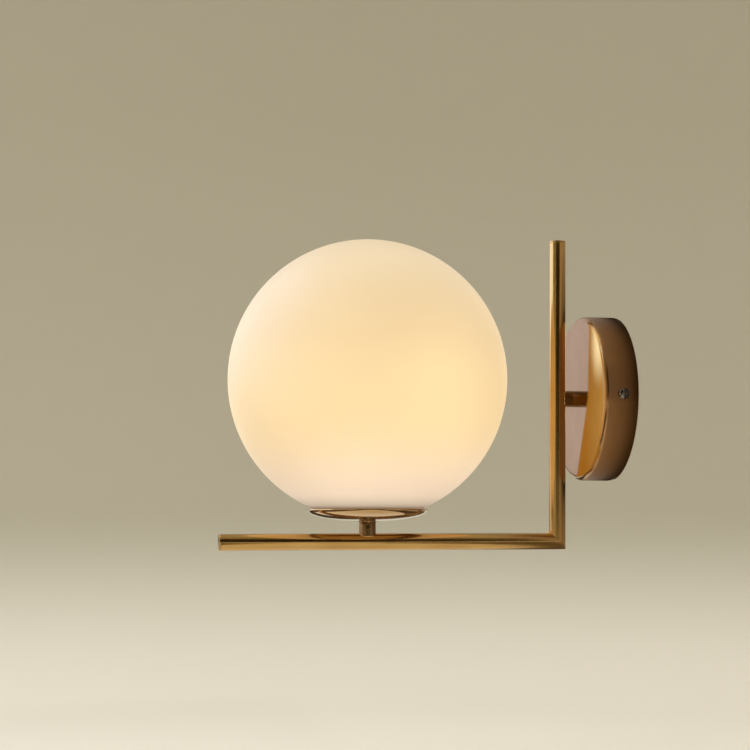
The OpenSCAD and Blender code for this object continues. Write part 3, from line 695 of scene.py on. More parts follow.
class SCONCE_OT_finishes(bpy.types.Operator):
    """Makes the materials of every piece"""

    bl_idname = "sconce.finishes"
    bl_label = "Finishes"

    def execute(self, context):
        colours = context.scene.sconce_finishes
        sizes = context.scene.sconce_sizes
        globe_centre = (0, GLOBE_Y, high_of("globe", Z) - sizes.globe_radius)
        made = [
            drawn_brass("drawn_brass_upright", colours.brass, colours.brass_shade, Z),
            drawn_brass("drawn_brass_level", colours.brass, colours.brass_shade, Y),
            # The stem and standoff: the same drawn brass, painted darker for the shade under the saucer and
            # between the post and the plate.
            drawn_brass("brass_in_painted_shade_upright", colours.dark_brass, colours.brass_in_painted_shade_patches, Z, 0.26),
            drawn_brass("brass_in_painted_shade_level", colours.dark_brass, colours.brass_in_painted_shade_patches, Y, 0.26),
            spun_brass(
                "spun_brass_plate", colours.plate, colours.plate_shade, (0, 0, 0), Y, 0.1,
                (sizes.plate_radius, sizes.plate_edge, colours.plate_side, 0.3),
            ),
            spun_brass("spun_brass_saucer", colours.plate, colours.plate_shade, GLOBE_AXIS, Z, 0.11),
            spun_brass("turned_brass_cap_top", colours.brass, colours.brass_shade, (0, POST_Y, 0), Z, 0.24),
            spun_brass("turned_brass_cap_end", colours.brass, colours.brass_shade, (0, 0, ARM_Z), Y, 0.24),
            # Braze is paler than the tubes' brass, and its colour is lifted further as a painted highlight
            # for the glint in the inner corner.
            plain_metal("braze", "#EBCB94", "#CDA062", 0.24, 2 * MM, 0.12, 0.05 * MM),
            plain_metal("machined_brass", "#D4B268", "#BF9A50", 0.3),
            plain_metal("zinc_plated_steel", "#B4B2A8", "#A9A8A2", 0.38, 14 * MM, 0.07),
            plain_metal("polished_steel", "#948F86", "#6F6A61", 0.14, 3 * MM),
            plain_metal("spun_sheet_aluminium", "#CFCFCF", "#BDBDBE", 0.34, 15 * MM),
            opal_glass(colours, globe_centre, sizes.globe_radius),
            frosted_dome(),
            moulded("moulded_white_polyamide", "#E6E5DF", "#DAD9D2", 0.42),
            moulded("phenolic_moulding", "#191817", "#232120", 0.35),
            moulded("nitrile_rubber", "#141414", "#1D1C1B", 0.7, 0.8 * MM, 0.05 * MM),
            moulded("steatite_ceramic", "#E2DDD1", "#D5CFC2", 0.55, 0.5 * MM, 0.03 * MM, 1.6),
            moulded("glass_epoxy_board", "#1F5A38", "#184A2E", 0.4, 0.7 * MM, 0.02 * MM, 1.55),
            moulded("brown_insulation", "#5B3A22", "#4E3019", 0.42),
            moulded("blue_insulation", "#24509A", "#1D4487", 0.42),
            striped_insulation("earth_insulation", "#3F8A33", "#DBC93A"),
        ]
        FINISHES.update({material.name: material for material in made})
        return {"FINISHED"}


class SCONCE_OT_wall_plate(bpy.types.Operator):
    """Spins the wall plate: a drum open to the wall, with a rounded front edge"""

    bl_idname = "sconce.wall_plate"
    bl_label = "Wall plate"

    def execute(self, context):
        sizes = context.scene.sconce_sizes
        outer, wall, edge = sizes.plate_radius, sizes.plate_wall, sizes.plate_edge
        inner, inner_edge = outer - wall, edge - wall
        face, back = PLATE_FACE, PLATE_FACE - wall
        hole, lip = NIPPLE_HOLE, 0.3 * MM
        profile = outline(
            arc((outer - lip, lip), lip, -90, 0, 4),
            arc((outer - edge, face - edge), edge, 0, 90, 14),
            *[(radius, face) for radius in np.linspace(outer - edge, hole, 24)[1:]],
            (hole, back),
            arc((inner - inner_edge, back - inner_edge), inner_edge, 90, 0, 8),
            arc((inner + lip, lip), lip, 180, 270, 4),
        )
        add_piece(
            "plate_shell", placed_surface(revolved(profile, 256), way="out"),
            finish_named("spun_brass_plate"), "root", ["wall_plate"],
        )
        return {"FINISHED"}


class SCONCE_OT_side_screws(bpy.types.Operator):
    """Makes the two cross-head screws in the plate's side, with their threads"""

    bl_idname = "sconce.side_screws"
    bl_label = "Side screws"

    def execute(self, context):
        plate = context.scene.sconce_sizes.plate_radius
        head_radius = radius_of("cover_screws", Z)
        head_height = high_of("cover_screws", X) - plate
        shank_length, recess = 8 * MM, 1.3 * MM
        head = screw_head(head_radius, head_height, recess)
        thread = threaded(SCREW_SHANK, THREAD_DEPTH, SCREW_PITCH, -shank_length, 0, 0, 32)
        sides = [
            placed_surface(part, (side * plate, SIDE_SCREW_Y, 0), way)
            for side, way in ((1, "right"), (-1, "left")) for part in (head, thread)
        ]
        add_piece(
            "side_screw_pair", joined(*sides), finish_named("polished_steel"), "root",
            ["cover_screws"], 30,
        )
        return {"FINISHED"}


class SCONCE_OT_bracket(bpy.types.Operator):
    """Finishes the steel bracket behind the plate, its earth screw and tag"""

    bl_idname = "sconce.bracket"
    bl_label = "Bracket"

    def execute(self, context):
        for node in ("mounting_bracket", "earth_tag", "terminal_screws", "block_screws"):
            paint(node, "zinc_plated_steel")
        paint("terminal_block", "moulded_white_polyamide")
        paint("plate_washer", "zinc_plated_steel")
        paint("plate_lock_washer", "polished_steel")
        radius = radius_of("earth_screw", X)
        head_height, recess, shank_length = 2 * MM, 1.1 * MM, 2.3 * MM
        seat = -low_of("earth_screw", Y) - head_height
        head = screw_head(radius, head_height, recess, 64, 28)
        thread = threaded(SCREW_SHANK, THREAD_DEPTH, SCREW_PITCH, -shank_length, 0, 0, 32)
        place = (0, -seat, middle_of("earth_screw", Z))
        add_piece(
            "earth_screw_cross_head",
            joined(placed_surface(head, place, "out"), placed_surface(thread, place, "out")),
            finish_named("machined_brass"), "root", ["earth_screw"], 30,
        )
        return {"FINISHED"}


class SCONCE_OT_fixings(bpy.types.Operator):
    """Cuts the threads of the two nipples and the chamfers of their nuts"""

    bl_idname = "sconce.fixings"
    bl_label = "Nipples and nuts"

    def execute(self, context):
        depth, pitch, bore = 0.45 * MM, 1 * MM, 3.6 * MM
        brass = finish_named("machined_brass")
        start, end = -high_of("plate_nipple", Y), -low_of("plate_nipple", Y)
        add_piece(
            "plate_nipple_thread",
            placed_surface(threaded(NIPPLE_RADIUS, depth, pitch, start, end, bore), way="out"),
            brass, "root", ["plate_nipple"],
        )
        nut_start = -high_of("plate_nut", Y)
        thickness = high_of("plate_nut", Y) - low_of("plate_nut", Y)
        add_piece(
            "plate_nut_hex",
            placed_surface(hex_nut(NUT_FLATS, NUT_BORE, nut_start, thickness), way="out"),
            brass, "root", ["plate_nut"], 25,
        )
        low, high = low_of("stem_nipple", Z), high_of("stem_nipple", Z)
        add_piece(
            "stem_nipple_thread",
            placed_surface(threaded(NIPPLE_RADIUS, depth, pitch, low, high, bore), GLOBE_AXIS),
            brass, "root", ["stem_nipple"],
        )
        add_piece(
            "gallery_nut_hex",
            placed_surface(
                hex_nut(NUT_FLATS, NUT_BORE, low_of("gallery_nut", Z), thickness), GLOBE_AXIS
            ),
            brass, "root", ["gallery_nut"], 25,
        )
        return {"FINISHED"}


def crown(radius, across):
    """How high a level tube's surface stands over its axis, at a distance to one side of the axis."""
    return np.sqrt(np.clip(radius ** 2 - across ** 2, 0, None))


def level_end(height):
    """A tube's end that is cut square at a height."""
    return lambda turn, radius: height + 0 * turn * radius


class SCONCE_OT_tubes(bpy.types.Operator):
    """Draws the post, arm, stem and standoff with their mitre and copes, and closes the open ends"""

    bl_idname = "sconce.tubes"
    bl_label = "Tubes"

    def execute(self, context):
        sizes = context.scene.sconce_sizes
        radius, wall = sizes.tube_radius, sizes.tube_wall
        upright, level = finish_named("drawn_brass_upright"), finish_named("drawn_brass_level")
        shaded_upright, shaded_level = finish_named("brass_in_painted_shade_upright"), finish_named("brass_in_painted_shade_level")
        post = tube_shell(
            radius, wall, lambda turn, r: ARM_Z - r * np.sin(turn), level_end(high_of("post", Z)), 0.2 * MM
        )
        add_piece(
            "post_tube", placed_surface(post, (0, POST_Y, 0)), upright, "root", ["post"]
        )
        arm = tube_shell(
            radius, wall, lambda turn, r: r * np.sin(turn), level_end(POST_Y - low_of("arm", Y)), 0.2 * MM
        )
        add_piece(
            "arm_tube", placed_surface(arm, (0, POST_Y, ARM_Z), "out"), level,
            "root", ["arm"],
        )
        stem = tube_shell(
            radius, wall,
            lambda turn, r: np.maximum(ARM_Z + crown(radius, r * np.cos(turn)), low_of("stem", Z)),
            level_end(high_of("stem", Z)), 0.1 * MM,
        )
        add_piece(
            "stem_tube", placed_surface(stem, GLOBE_AXIS), shaded_upright, "root", ["stem"]
        )
        standoff = tube_shell(
            radius, wall,
            level_end(PLATE_FACE),
            lambda turn, r: np.minimum(-POST_Y - crown(radius, r * np.cos(turn)), -low_of("standoff", Y)), 0,
        )
        add_piece(
            "standoff_tube", placed_surface(standoff, way="out"), shaded_level,
            "root", ["standoff"],
        )
        self.close_ends(sizes)
        self.braze(sizes)
        return {"FINISHED"}

    def close_ends(self, sizes):
        """Turned discs with a spigot; a fine groove shows where each meets its tube."""
        radius, bore = sizes.tube_radius, sizes.tube_radius - sizes.tube_wall - 0.1 * MM
        thickness, spigot, groove, ease = 1.3 * MM, 5 * MM, 0.25 * MM, 0.35 * MM
        profile = outline(
            (0, -spigot), (bore - groove, -spigot), (bore, -spigot + groove), (bore, 0),
            (radius - groove, 0), (radius, groove),
            arc((radius - ease, thickness - ease), ease, 0, 90, 6),
            *[(share * (radius - ease), thickness) for share in (0.75, 0.5, 0.25, 0)],
        )
        disc = revolved(profile, 96)
        top = high_of("post_cap", Z) - thickness
        add_piece(
            "post_end_disc", placed_surface(disc, (0, POST_Y, top)), finish_named("turned_brass_cap_top"),
            "root", ["post_cap"],
        )
        end = low_of("arm_cap", Y) + thickness
        add_piece(
            "arm_end_disc", placed_surface(disc, (0, end, ARM_Z), "out"),
            finish_named("turned_brass_cap_end"), "root", ["arm_cap"],
        )

    def braze(self, sizes):
        """Beads of braze along each joint. A short tube's bead runs round its end, tucked in to the tube
        that it stands on: its height over that tube's axis is the root of radius squared less distance aside
        squared. The mitre's bead is thin, and swells in the inner corner by a bell curve of the angle."""
        radius, bead, tuck = sizes.tube_radius, sizes.bead, 0.4 * MM
        widest, mitre_reach, corner_spread = 0.85, 0.965, math.radians(20)
        foot_share, shoulder_share, mitre_share, corner_share = 0.9, 0.8, 0.28, 3.4
        turn = np.linspace(0, 2 * math.pi, 144, endpoint=False)
        across, over = radius * np.cos(turn), radius * np.sin(turn)
        tucked = np.clip(across, -widest * radius, widest * radius)
        uneven = 1 + 0.12 * np.sin(7 * turn + 0.6) + 0.08 * np.sin(11 * turn)
        foot_height = np.maximum(crown(radius, tucked), low_of("stem", Z) - ARM_Z - tuck)
        shoulder_height = np.maximum(crown(radius, tucked), low_of("standoff", Y) - POST_Y - tuck)
        foot = np.stack([tucked, over, foot_height], -1)
        shoulder = np.stack([tucked, over, -POST_Y - shoulder_height], -1)
        mitre = mitre_reach * np.stack([across, over, -over], -1)
        inner_corner = np.exp(-(((turn - 1.5 * math.pi) / corner_spread) ** 2))
        mitre_bead = bead * (mitre_share + corner_share * inner_corner)
        beads = joined(
            placed_surface(swept(foot, foot_share * bead * uneven, 12, True), (0, GLOBE_Y, ARM_Z)),
            placed_surface(swept(shoulder, shoulder_share * bead * uneven, 12, True), way="out"),
            placed_surface(swept(mitre, mitre_bead, 12, True), (0, POST_Y, ARM_Z)),
        )
        add_piece("braze_beads", beads, finish_named("braze"), "root")


class SCONCE_OT_saucer(bpy.types.Operator):
    """Spins the saucer under the globe, with its rolled rim, and the collar that it sits on"""

    bl_idname = "sconce.saucer"
    bl_label = "Saucer"

    def execute(self, context):
        sizes = context.scene.sconce_sizes
        radius, seat = sizes.saucer_radius, sizes.saucer_seat
        wall, bead = sizes.saucer_wall, sizes.saucer_bead
        bottom, rim = low_of("saucer", Z), high_of("saucer", Z) - bead
        hole = NIPPLE_HOLE

        def dish(thickness, last):
            """Radius runs by the sine of a quarter turn, and height is the rim's less a quarter ellipse."""
            r = seat + (last - seat) * np.sin(np.linspace(0, math.pi / 2, 49))
            share = np.clip((r - seat) / (radius - thickness - seat), 0, 1)
            return np.stack([r, rim - (rim - bottom - thickness) * np.sqrt(1 - share ** 2)], -1)

        profile = outline(
            (hole, bottom), dish(0, radius), arc((radius - bead, rim), bead, 12, 205, 16),
            dish(wall, radius - 2 * bead)[::-1], (hole, bottom + wall),
        )
        add_piece(
            "saucer_dish", placed_surface(revolved(profile, 192), GLOBE_AXIS),
            finish_named("spun_brass_saucer"), "root", ["saucer"],
        )
        collar_radius = radius_of("stem_collar", X)
        low, high = low_of("stem_collar", Z), high_of("stem_collar", Z)
        half = (high - low) / 2
        ring = outline(
            (hole, low), arc((collar_radius - half, low + half), half, -90, 90, 10), (hole, high)
        )
        add_piece(
            "stem_collar_ring", placed_surface(revolved(ring, 96), GLOBE_AXIS),
            finish_named("spun_brass_saucer"), "root", ["stem_collar"],
        )
        return {"FINISHED"}


class SCONCE_OT_gallery(bpy.types.Operator):
    """Makes the gallery ring that locates the globe, its spacer and the gasket"""

    bl_idname = "sconce.gallery"
    bl_label = "Gallery"

    def execute(self, context):
        paint("saucer_spacer", "spun_sheet_aluminium")
        paint("globe_gasket", "nitrile_rubber")
        radius, wall = radius_of("gallery_ring", X), 1.5 * MM
        low, high = low_of("gallery_ring", Z), high_of("gallery_ring", Z)
        hole, bend, lip = NIPPLE_HOLE, 1 * MM, 0.6 * MM
        profile = outline(
            (hole, low), arc((radius - bend, low + bend), bend, -90, 0, 6),
            arc((radius - lip, high - lip), lip, 0, 90, 6),
            arc((radius - wall + lip, high - lip), lip, 90, 180, 6),
            (radius - wall, low + wall), (hole, low + wall),
        )
        add_piece(
            "gallery_cup", placed_surface(revolved(profile, 128), GLOBE_AXIS),
            finish_named("spun_sheet_aluminium"), "root", ["gallery_ring"],
        )
        return {"FINISHED"}


class SCONCE_OT_lampholder(bpy.types.Operator):
    """Moulds the lampholder's cap and barrel with their grip ribs, and rolls its screw shell"""

    bl_idname = "sconce.lampholder"
    bl_label = "Lampholder"

    def execute(self, context):
        paint("lampholder_core", "steatite_ceramic")
        for node in ("lampholder_terminals", "earth_terminal", "centre_contact"):
            paint(node, "machined_brass")
        self.mould_shells()
        self.roll_shell()
        return {"FINISHED"}

    def mould_shells(self):
        """Round shells whose radius swells at each of 36 ribs, between two plain bands."""
        radius, wall, cols = radius_of("lampholder_cap", X), 2 * MM, 288
        rib, ribs, ease = 0.45 * MM, 36, 0.8 * MM
        low, high = low_of("lampholder_cap", Z), high_of("lampholder_cap", Z)
        floor, ledge, step = HOLDER_FLOOR, 6 * MM, 1.5 * MM
        wave = 0.5 + 0.5 * np.cos(ribs * angles(cols))
        self.shell(
            "lampholder_cap_ribbed", "lampholder_cap", wave, rib,
            [(NUT_BORE, low, 0), (radius - 2 * ease, low, 0), (radius - 0.6 * ease, low + 0.5 * ease, 0),
             (radius, low + 2 * ease, 0), (radius, low + 4 * ease, 0), (radius, low + 5 * ease, 1),
             (radius, high - 4 * ease, 1), (radius, high - 3 * ease, 0), (radius, high, 0),
             (radius - wall, high, 0), (radius - wall, high - ledge, 0),
             (radius - wall - step, high - ledge, 0), (radius - wall - step, low + floor, 0),
             (NUT_BORE, low + floor, 0)],
        )
        low, high = low_of("lampholder_barrel", Z), high_of("lampholder_barrel", Z)
        lip, mouth = 4 * MM, 14.9 * MM
        self.shell(
            "lampholder_barrel_ribbed", "lampholder_barrel", wave, rib,
            [(radius - wall, low, 0), (radius, low + 0.1 * MM, 0), (radius, low + 3 * ease, 0),
             (radius, low + 4 * ease, 1), (radius, high - 7 * ease, 1), (radius, high - 6 * ease, 0),
             (radius, high - 2 * ease, 0), (radius - 0.6 * ease, high - 0.6 * ease, 0),
             (radius - 2 * ease, high, 0), (mouth + 0.5 * ease, high, 0), (mouth, high - 0.5 * ease, 0),
             (mouth, high - lip, 0), (radius - wall, high - lip, 0)],
        )

    def shell(self, name, node, wave, rib, rings):
        """Each ring has a radius, a height and how far the ribs are cut into it there."""
        rings = np.array(rings)
        radius = rings[:, :1] - rib * rings[:, 2:] * (1 - wave)
        height = np.broadcast_to(rings[:, 1:2], radius.shape)
        add_piece(
            name, placed_surface(waved(len(rings), wave.shape[1], radius, height), GLOBE_AXIS),
            finish_named("phenolic_moulding"), "root", [node], 30,
        )

    def roll_shell(self):
        """Thin brass whose radius follows the round thread of the bulb's cap, inside and out."""
        low, high = low_of("screw_shell", Z), high_of("screw_shell", Z)
        crest, wall, wave, cols = 13.6 * MM, 0.4 * MM, 0.7 * MM, 96
        height = np.linspace(low, high, 72)[:, None]
        phase = (height - low) / CAP_PITCH - angles(cols) / (2 * math.pi)
        inner = crest + wave * (0.5 - 0.5 * np.cos(2 * math.pi * phase))
        radii = np.concatenate([inner, inner[::-1] + wall])
        heights = np.broadcast_to(np.concatenate([height, height[::-1]]), radii.shape)
        add_piece(
            "screw_shell_rolled", placed_surface(waved(len(radii), cols, radii, heights), GLOBE_AXIS),
            finish_named("machined_brass"), "root", ["screw_shell"],
        )


class SCONCE_OT_wires(bpy.types.Operator):
    """Runs the three wires from the terminal block through the tubes to the lampholder"""

    bl_idname = "sconce.wires"
    bl_label = "Wires"

    def execute(self, context):
        radius = context.scene.sconce_sizes.wire_radius
        bend = 2.5 * MM
        for side, node, finish, slot in (
            (-1, "live_wire", "brown_insulation", "brown_wire"),
            (1, "neutral_wire", "blue_insulation", "blue_wire"),
        ):
            route = self.mains_route(side, node, radius)
            add_piece(
                node + "_lead", swept(bent_route(route, bend), radius), finish_named(finish),
                "root", [node],
            )
        add_piece(
            "earth_wire_lead", swept(bent_route(self.earth_route(radius), bend), radius),
            finish_named("earth_insulation"), "root", ["earth_wire"],
        )
        return {"FINISHED"}

    def mains_route(self, side, node, radius):
        """Corners from the terminal block down to the nipple, along the tubes, up the stem and out to a
        terminal."""
        far = side * 8.2 * MM
        near = side * 2.2 * MM
        entry, turn_z = high_of(node, Y) - radius, 8 * MM
        fan_z = low_of("lampholder_cap", Z) + HOLDER_FLOOR + 4 * MM
        return [
            (far, entry, high_of(node, Z)), (far, entry, turn_z), (near, entry, turn_z), (near, entry, 0),
            (near, POST_Y, 0), (near, POST_Y, ARM_Z), (near, GLOBE_Y, ARM_Z), (near, GLOBE_Y, fan_z),
            (far, GLOBE_Y, fan_z), (far, GLOBE_Y, low_of("lampholder_terminals", Z) + WIRE_GRIP),
        ]

    def earth_route(self, radius):
        """Corners from the earth tag to the nipple, along the tubes, up the stem and across to its
        terminal."""
        entry = high_of("earth_wire", Y) - radius
        fan_z = low_of("lampholder_cap", Z) + HOLDER_FLOOR + 5 * MM
        terminal_y = middle_of("earth_terminal", Y)
        return [
            (0, entry, high_of("earth_tag", Z) - WIRE_GRIP), (0, entry, 0), (0, POST_Y, 0),
            (0, POST_Y, ARM_Z), (0, GLOBE_Y, ARM_Z), (0, GLOBE_Y, fan_z), (0, terminal_y, fan_z),
        ]


class SCONCE_OT_globe(bpy.types.Operator):
    """Blows the opal globe and fits the collar in its mouth"""

    bl_idname = "sconce.globe"
    bl_label = "Globe"

    def execute(self, context):
        sizes = context.scene.sconce_sizes
        outer, mouth = sizes.globe_radius, sizes.mouth_radius
        inner = outer - sizes.globe_wall
        centre_z = high_of("globe", Z) - outer
        start = -math.degrees(math.acos(mouth / outer))
        end = -math.degrees(math.acos(mouth / inner))
        profile = outline(arc((0, 0), outer, start, 90, 112), arc((0, 0), inner, 90, end, 96))
        add_piece(
            "globe_glass", placed_surface(revolved(profile, 224), (0, GLOBE_Y, centre_z)),
            finish_named("blown_opal_glass"), "globe", ["globe"],
        )
        low, high = low_of("globe_collar", Z), high_of("globe_collar", Z)
        bore, sleeve, flange, flange_t = 28.5 * MM, 32.8 * MM, radius_of("globe_collar", X), 0.9 * MM
        lip = 0.4 * MM
        ring = outline(
            (bore + lip, low), arc((flange - lip, low + lip), lip, -90, 90, 8),
            (sleeve, low + 2 * lip), (sleeve, low + flange_t),
            arc((sleeve - lip, high - lip), lip, 0, 90, 5), arc((bore + lip, high - lip), lip, 90, 180, 5),
            (bore, low + lip),
        )
        add_piece(
            "globe_collar_ring", placed_surface(revolved(ring, 128), GLOBE_AXIS),
            finish_named("spun_sheet_aluminium"), "globe", ["globe_collar"],
        )
        return {"FINISHED"}


class SCONCE_OT_bulb(bpy.types.Operator):
    """Makes the bulb: frosted dome, tapered housing and rolled screw cap"""

    bl_idname = "sconce.bulb"
    bl_label = "Bulb"

    def execute(self, context):
        paint("bulb_led_board", "steatite_ceramic")
        paint("bulb_driver_board", "glass_epoxy_board")
        paint("bulb_insulator", "phenolic_moulding")
        paint("bulb_tip", "polished_steel")
        self.dome()
        self.housing()
        self.cap()
        return {"FINISHED"}

    def dome(self):
        """Part of a sphere with a wall, from the seam up."""
        radius, wall = radius_of("bulb_dome", X, 0.5 * MM), 1.2 * MM
        centre_z = high_of("bulb_dome", Z) - radius
        drop = centre_z - low_of("bulb_dome", Z)
        start = -math.degrees(math.asin(drop / radius))
        end = -math.degrees(math.asin(drop / (radius - wall)))
        profile = outline(arc((0, 0), radius, start, 90, 56), arc((0, 0), radius - wall, 90, end, 48))
        add_piece(
            "bulb_diffuser", placed_surface(revolved(profile, 96), (0, GLOBE_Y, centre_z)),
            finish_named("frosted_polycarbonate"), "bulb", ["bulb_dome"],
        )

    def housing(self):
        """A cone from the cap's neck to the seam, swelling a little on the way."""
        low, high = low_of("bulb_housing", Z), high_of("bulb_housing", Z)
        neck, seam, wall, fullness = 13.7 * MM, radius_of("bulb_housing", X), 1.2 * MM, 1.15
        share = np.linspace(0, 1, 25)
        swell = neck + (seam - neck) * np.sin(share * math.pi / 2) ** fullness
        outer = np.stack([swell, low + share * (high - low)], -1)
        inner = np.stack([swell - wall, low + share * (high - low)], -1)[::-1]
        add_piece(
            "bulb_housing_cone", placed_surface(revolved(outline(outer, inner), 96), GLOBE_AXIS),
            finish_named("moulded_white_polyamide"), "bulb", ["bulb_housing"],
        )

    def cap(self):
        """Thin metal whose radius follows a round screw thread, drawn in at the contact's end."""
        low, high = low_of("bulb_cap", Z), high_of("bulb_cap", Z)
        crest, depth, wall, neck, cols = 13.2 * MM, 0.9 * MM, 0.5 * MM, 11.5 * MM, 96
        fade_in, fade_out, taper_run = 3 * MM, 2.5 * MM, 1.6 * MM
        height = np.linspace(low, high, 80)[:, None]
        phase = (height - low) / CAP_PITCH - angles(cols) / (2 * math.pi)
        fade = smooth_step((height - low) / fade_in) * smooth_step((high - height) / fade_out)
        wave = crest - depth * fade * (0.5 + 0.5 * np.cos(2 * math.pi * phase))
        taper = smooth_step((height - low) / taper_run)
        outer = neck + (wave - neck) * taper
        radii = np.concatenate([outer, outer[::-1] - wall])
        heights = np.broadcast_to(np.concatenate([height, height[::-1]]), radii.shape)
        add_piece(
            "bulb_screw_cap", placed_surface(waved(len(radii), cols, radii, heights), GLOBE_AXIS),
            finish_named("zinc_plated_steel"), "bulb", ["bulb_cap"],
        )


def hide_from_all_but_gloss(card):
    """Leaves a card to reflections alone: it neither shows, lights nor shades anything else."""
    card.visible_camera = False
    card.visible_diffuse = False
    card.visible_shadow = False
    card.visible_transmission = False


class SCONCE_OT_stage(bpy.types.Operator):
    """Sets the pale floor and backdrop, the soft lamps and the camera"""

    bl_idname = "sconce.stage"
    bl_label = "Stage"

    def execute(self, context):
        colours = context.scene.sconce_finishes
        self.backdrop(tuple(colours.floor), tuple(colours.backdrop))
        self.cards()
        self.lamps()
        self.world(tuple(colours.backdrop))
        self.camera(context)
        context.scene.view_settings.view_transform = "Standard"
        return {"FINISHED"}

    def backdrop(self, floor_colour, wall_colour):
        """A round floor that curves up into a wall: flat to one radius, then a quarter circle, then upright.
        Its paint is palest on the floor and deepens up the curve."""
        flat, curve, top, sides = 1.6, 1.3, 3.6, 128
        fade_height, mottle_size, mottle_share = 0.36, 0.9, 0.04
        profile = outline(
            (0, FLOOR_Z), (flat / 2, FLOOR_Z), arc((flat, FLOOR_Z + curve), curve, -90, 0, 24),
            (flat + curve, top),
        )
        turn = angles(sides)
        points = np.stack(
            [profile[:, :1] * np.cos(turn), profile[:, :1] * np.sin(turn), profile[:, 1:] + 0 * turn], -1
        )
        material, tree, output = new_material("matt_backdrop_paint")
        place = add_node(tree, "ShaderNodeTexCoord").outputs["Object"]
        height = add_node(tree, "ShaderNodeSeparateXYZ", {"Vector": place}).outputs[Z]
        tone = graded(
            tree, height, FLOOR_Z, FLOOR_Z + fade_height, floor_colour, wall_colour, "SMOOTHSTEP"
        )
        mottled, _ = two_tone(tree, place, mottle_size, tone, wall_colour)
        paint_tone = add_node(
            tree, "ShaderNodeMix", {MIX_FACTOR: mottle_share, MIX_FIRST: tone, MIX_SECOND: mottled},
            data_type="RGBA",
        ).outputs[MIX_RESULT]
        shader = add_node(tree, "ShaderNodeBsdfPrincipled", {"Base Color": paint_tone, "Roughness": 0.9})
        surface = points.reshape(-1, 3), grid_faces(len(profile), sides, False)
        add_to_stage("backdrop", surface, finished(material, tree, output, shader))

    def cards(self):
        """Cards that only reflections see, so that the metal has a dark room in front of it, a dim wall
        beside it and a bright window to one side. Most bend round the lamp, from one azimuth and elevation
        in degrees to another, counted from +X towards +Y and up; four lie on the floor, from one x and y to
        another."""
        steps, over_floor = 13, 0.01
        for name, (az_from, az_to), (el_from, el_to), tint, strength in (
            ("card_dark", (-38, 18), (-8, 40), "#2E261C", 1.0),
            ("card_over", (-38, 18), (42, 72), "#A3947A", 1.0),
            ("card_wall", (20, 125), (-8, 70), "#C4B9AA", 1.0),
            ("card_far", (182.5, 214), (-0.8, 45), "#D4C8C5", 1.0),
            ("card_far_foot", (182.5, 214), (-8, -0.9), "#4A3C2C", 1.0),
            ("card_low_dark", (172.5, 182), (-8, 8), "#3E3226", 1.0),
            ("card_low_pale", (140, 172), (-1.5, 8), "#A89888", 1.0),
            ("card_low_foot", (140, 172), (-8, -1.6), "#4A3C2C", 1.0),
            ("card_window", (-152, -84), (-8, 4.5), "#FFF0D8", 1.15),
            ("card_window_top", (-152, -84), (4.5, 55), "#DCE6FF", 2.4),
        ):
            azimuth, elevation = np.radians(np.meshgrid(
                np.linspace(az_from, az_to, steps), np.linspace(el_from, el_to, steps), indexing="ij"
            ))
            across = np.cos(elevation)
            points = CARD_RADIUS * np.stack(
                [across * np.cos(azimuth), across * np.sin(azimuth), np.sin(elevation)], -1
            )
            surface = points.reshape(-1, 3), grid_faces(steps, steps, False, False)
            self.card(name, surface, tint, strength)
        for name, (left, right), (near, far), tint in (
            ("card_floor_left", (-1.2, 2.0), (-0.44, -2.0), "#5E4E3C"),
            ("card_floor_right", (-1.2, 2.0), (0.03, 0.55), "#5E4E3C"),
            ("card_floor_far", (-2.4, -0.62), (-0.44, 0.03), "#4A3C2C"),
            ("card_floor_corner", (-2.4, -1.2), (-1.0, -0.44), "#4A3C2C"),
        ):
            corners = np.array([(x, y, FLOOR_Z + over_floor) for x in (left, right) for y in (near, far)])
            self.card(name, (corners, grid_faces(2, 2, False, False)), tint, 1.0)
        self.wall_card()
        self.plate_cards()

    def plate_cards(self):
        """A gilt card between plate and post, with a dim back, that only reflections see. It stands for the
        light that the post's lit back throws on the plate: gold, palest round one spot near the plate's
        edge. Each of its rows has a height and a left edge in millimetres, and all share one right edge."""
        rows, right, gap, backing = ((-58, -19), (0, 7), (58, 11)), 46, 5 * MM, 0.3 * MM
        corners = np.array([(x * MM, -PLATE_FACE - gap, z * MM) for z, left in rows for x in (left, right)])
        faces = grid_faces(len(rows), 2, False, False)
        spot, spread = (33 * MM, 0, 40 * MM), (1 / (19 * MM), 0, 1 / (30 * MM))
        spot_edge, spot_core, strength = 1.25, 0.15, 1.6
        material, tree, output = new_material("gilt_card")
        place = add_node(tree, "ShaderNodeTexCoord").outputs["Object"]
        across = add_node(tree, "ShaderNodeSeparateXYZ", {"Vector": place}).outputs[X]
        gold = graded(tree, across, 0.0, right * MM, linear("#9B6D26"), linear("#B49252"))
        offset = add_node(tree, "ShaderNodeVectorMath", {0: place, 1: spot}, operation="SUBTRACT")
        scaled = add_node(tree, "ShaderNodeVectorMath", {0: offset, 1: spread}, operation="MULTIPLY")
        distance = add_node(tree, "ShaderNodeVectorMath", {0: scaled}, operation="LENGTH").outputs["Value"]
        tone = graded(tree, distance, spot_edge, spot_core, gold, linear("#FFFAD2"), "SMOOTHSTEP")
        glow = add_node(tree, "ShaderNodeEmission", {"Color": tone, "Strength": strength})
        gilt = add_to_stage("card_gilt", (corners, faces), finished(material, tree, output, glow))
        hide_from_all_but_gloss(gilt)
        self.card("card_gilt_back", (corners - (0, backing, 0), faces), "#7C5C40", 1.0)

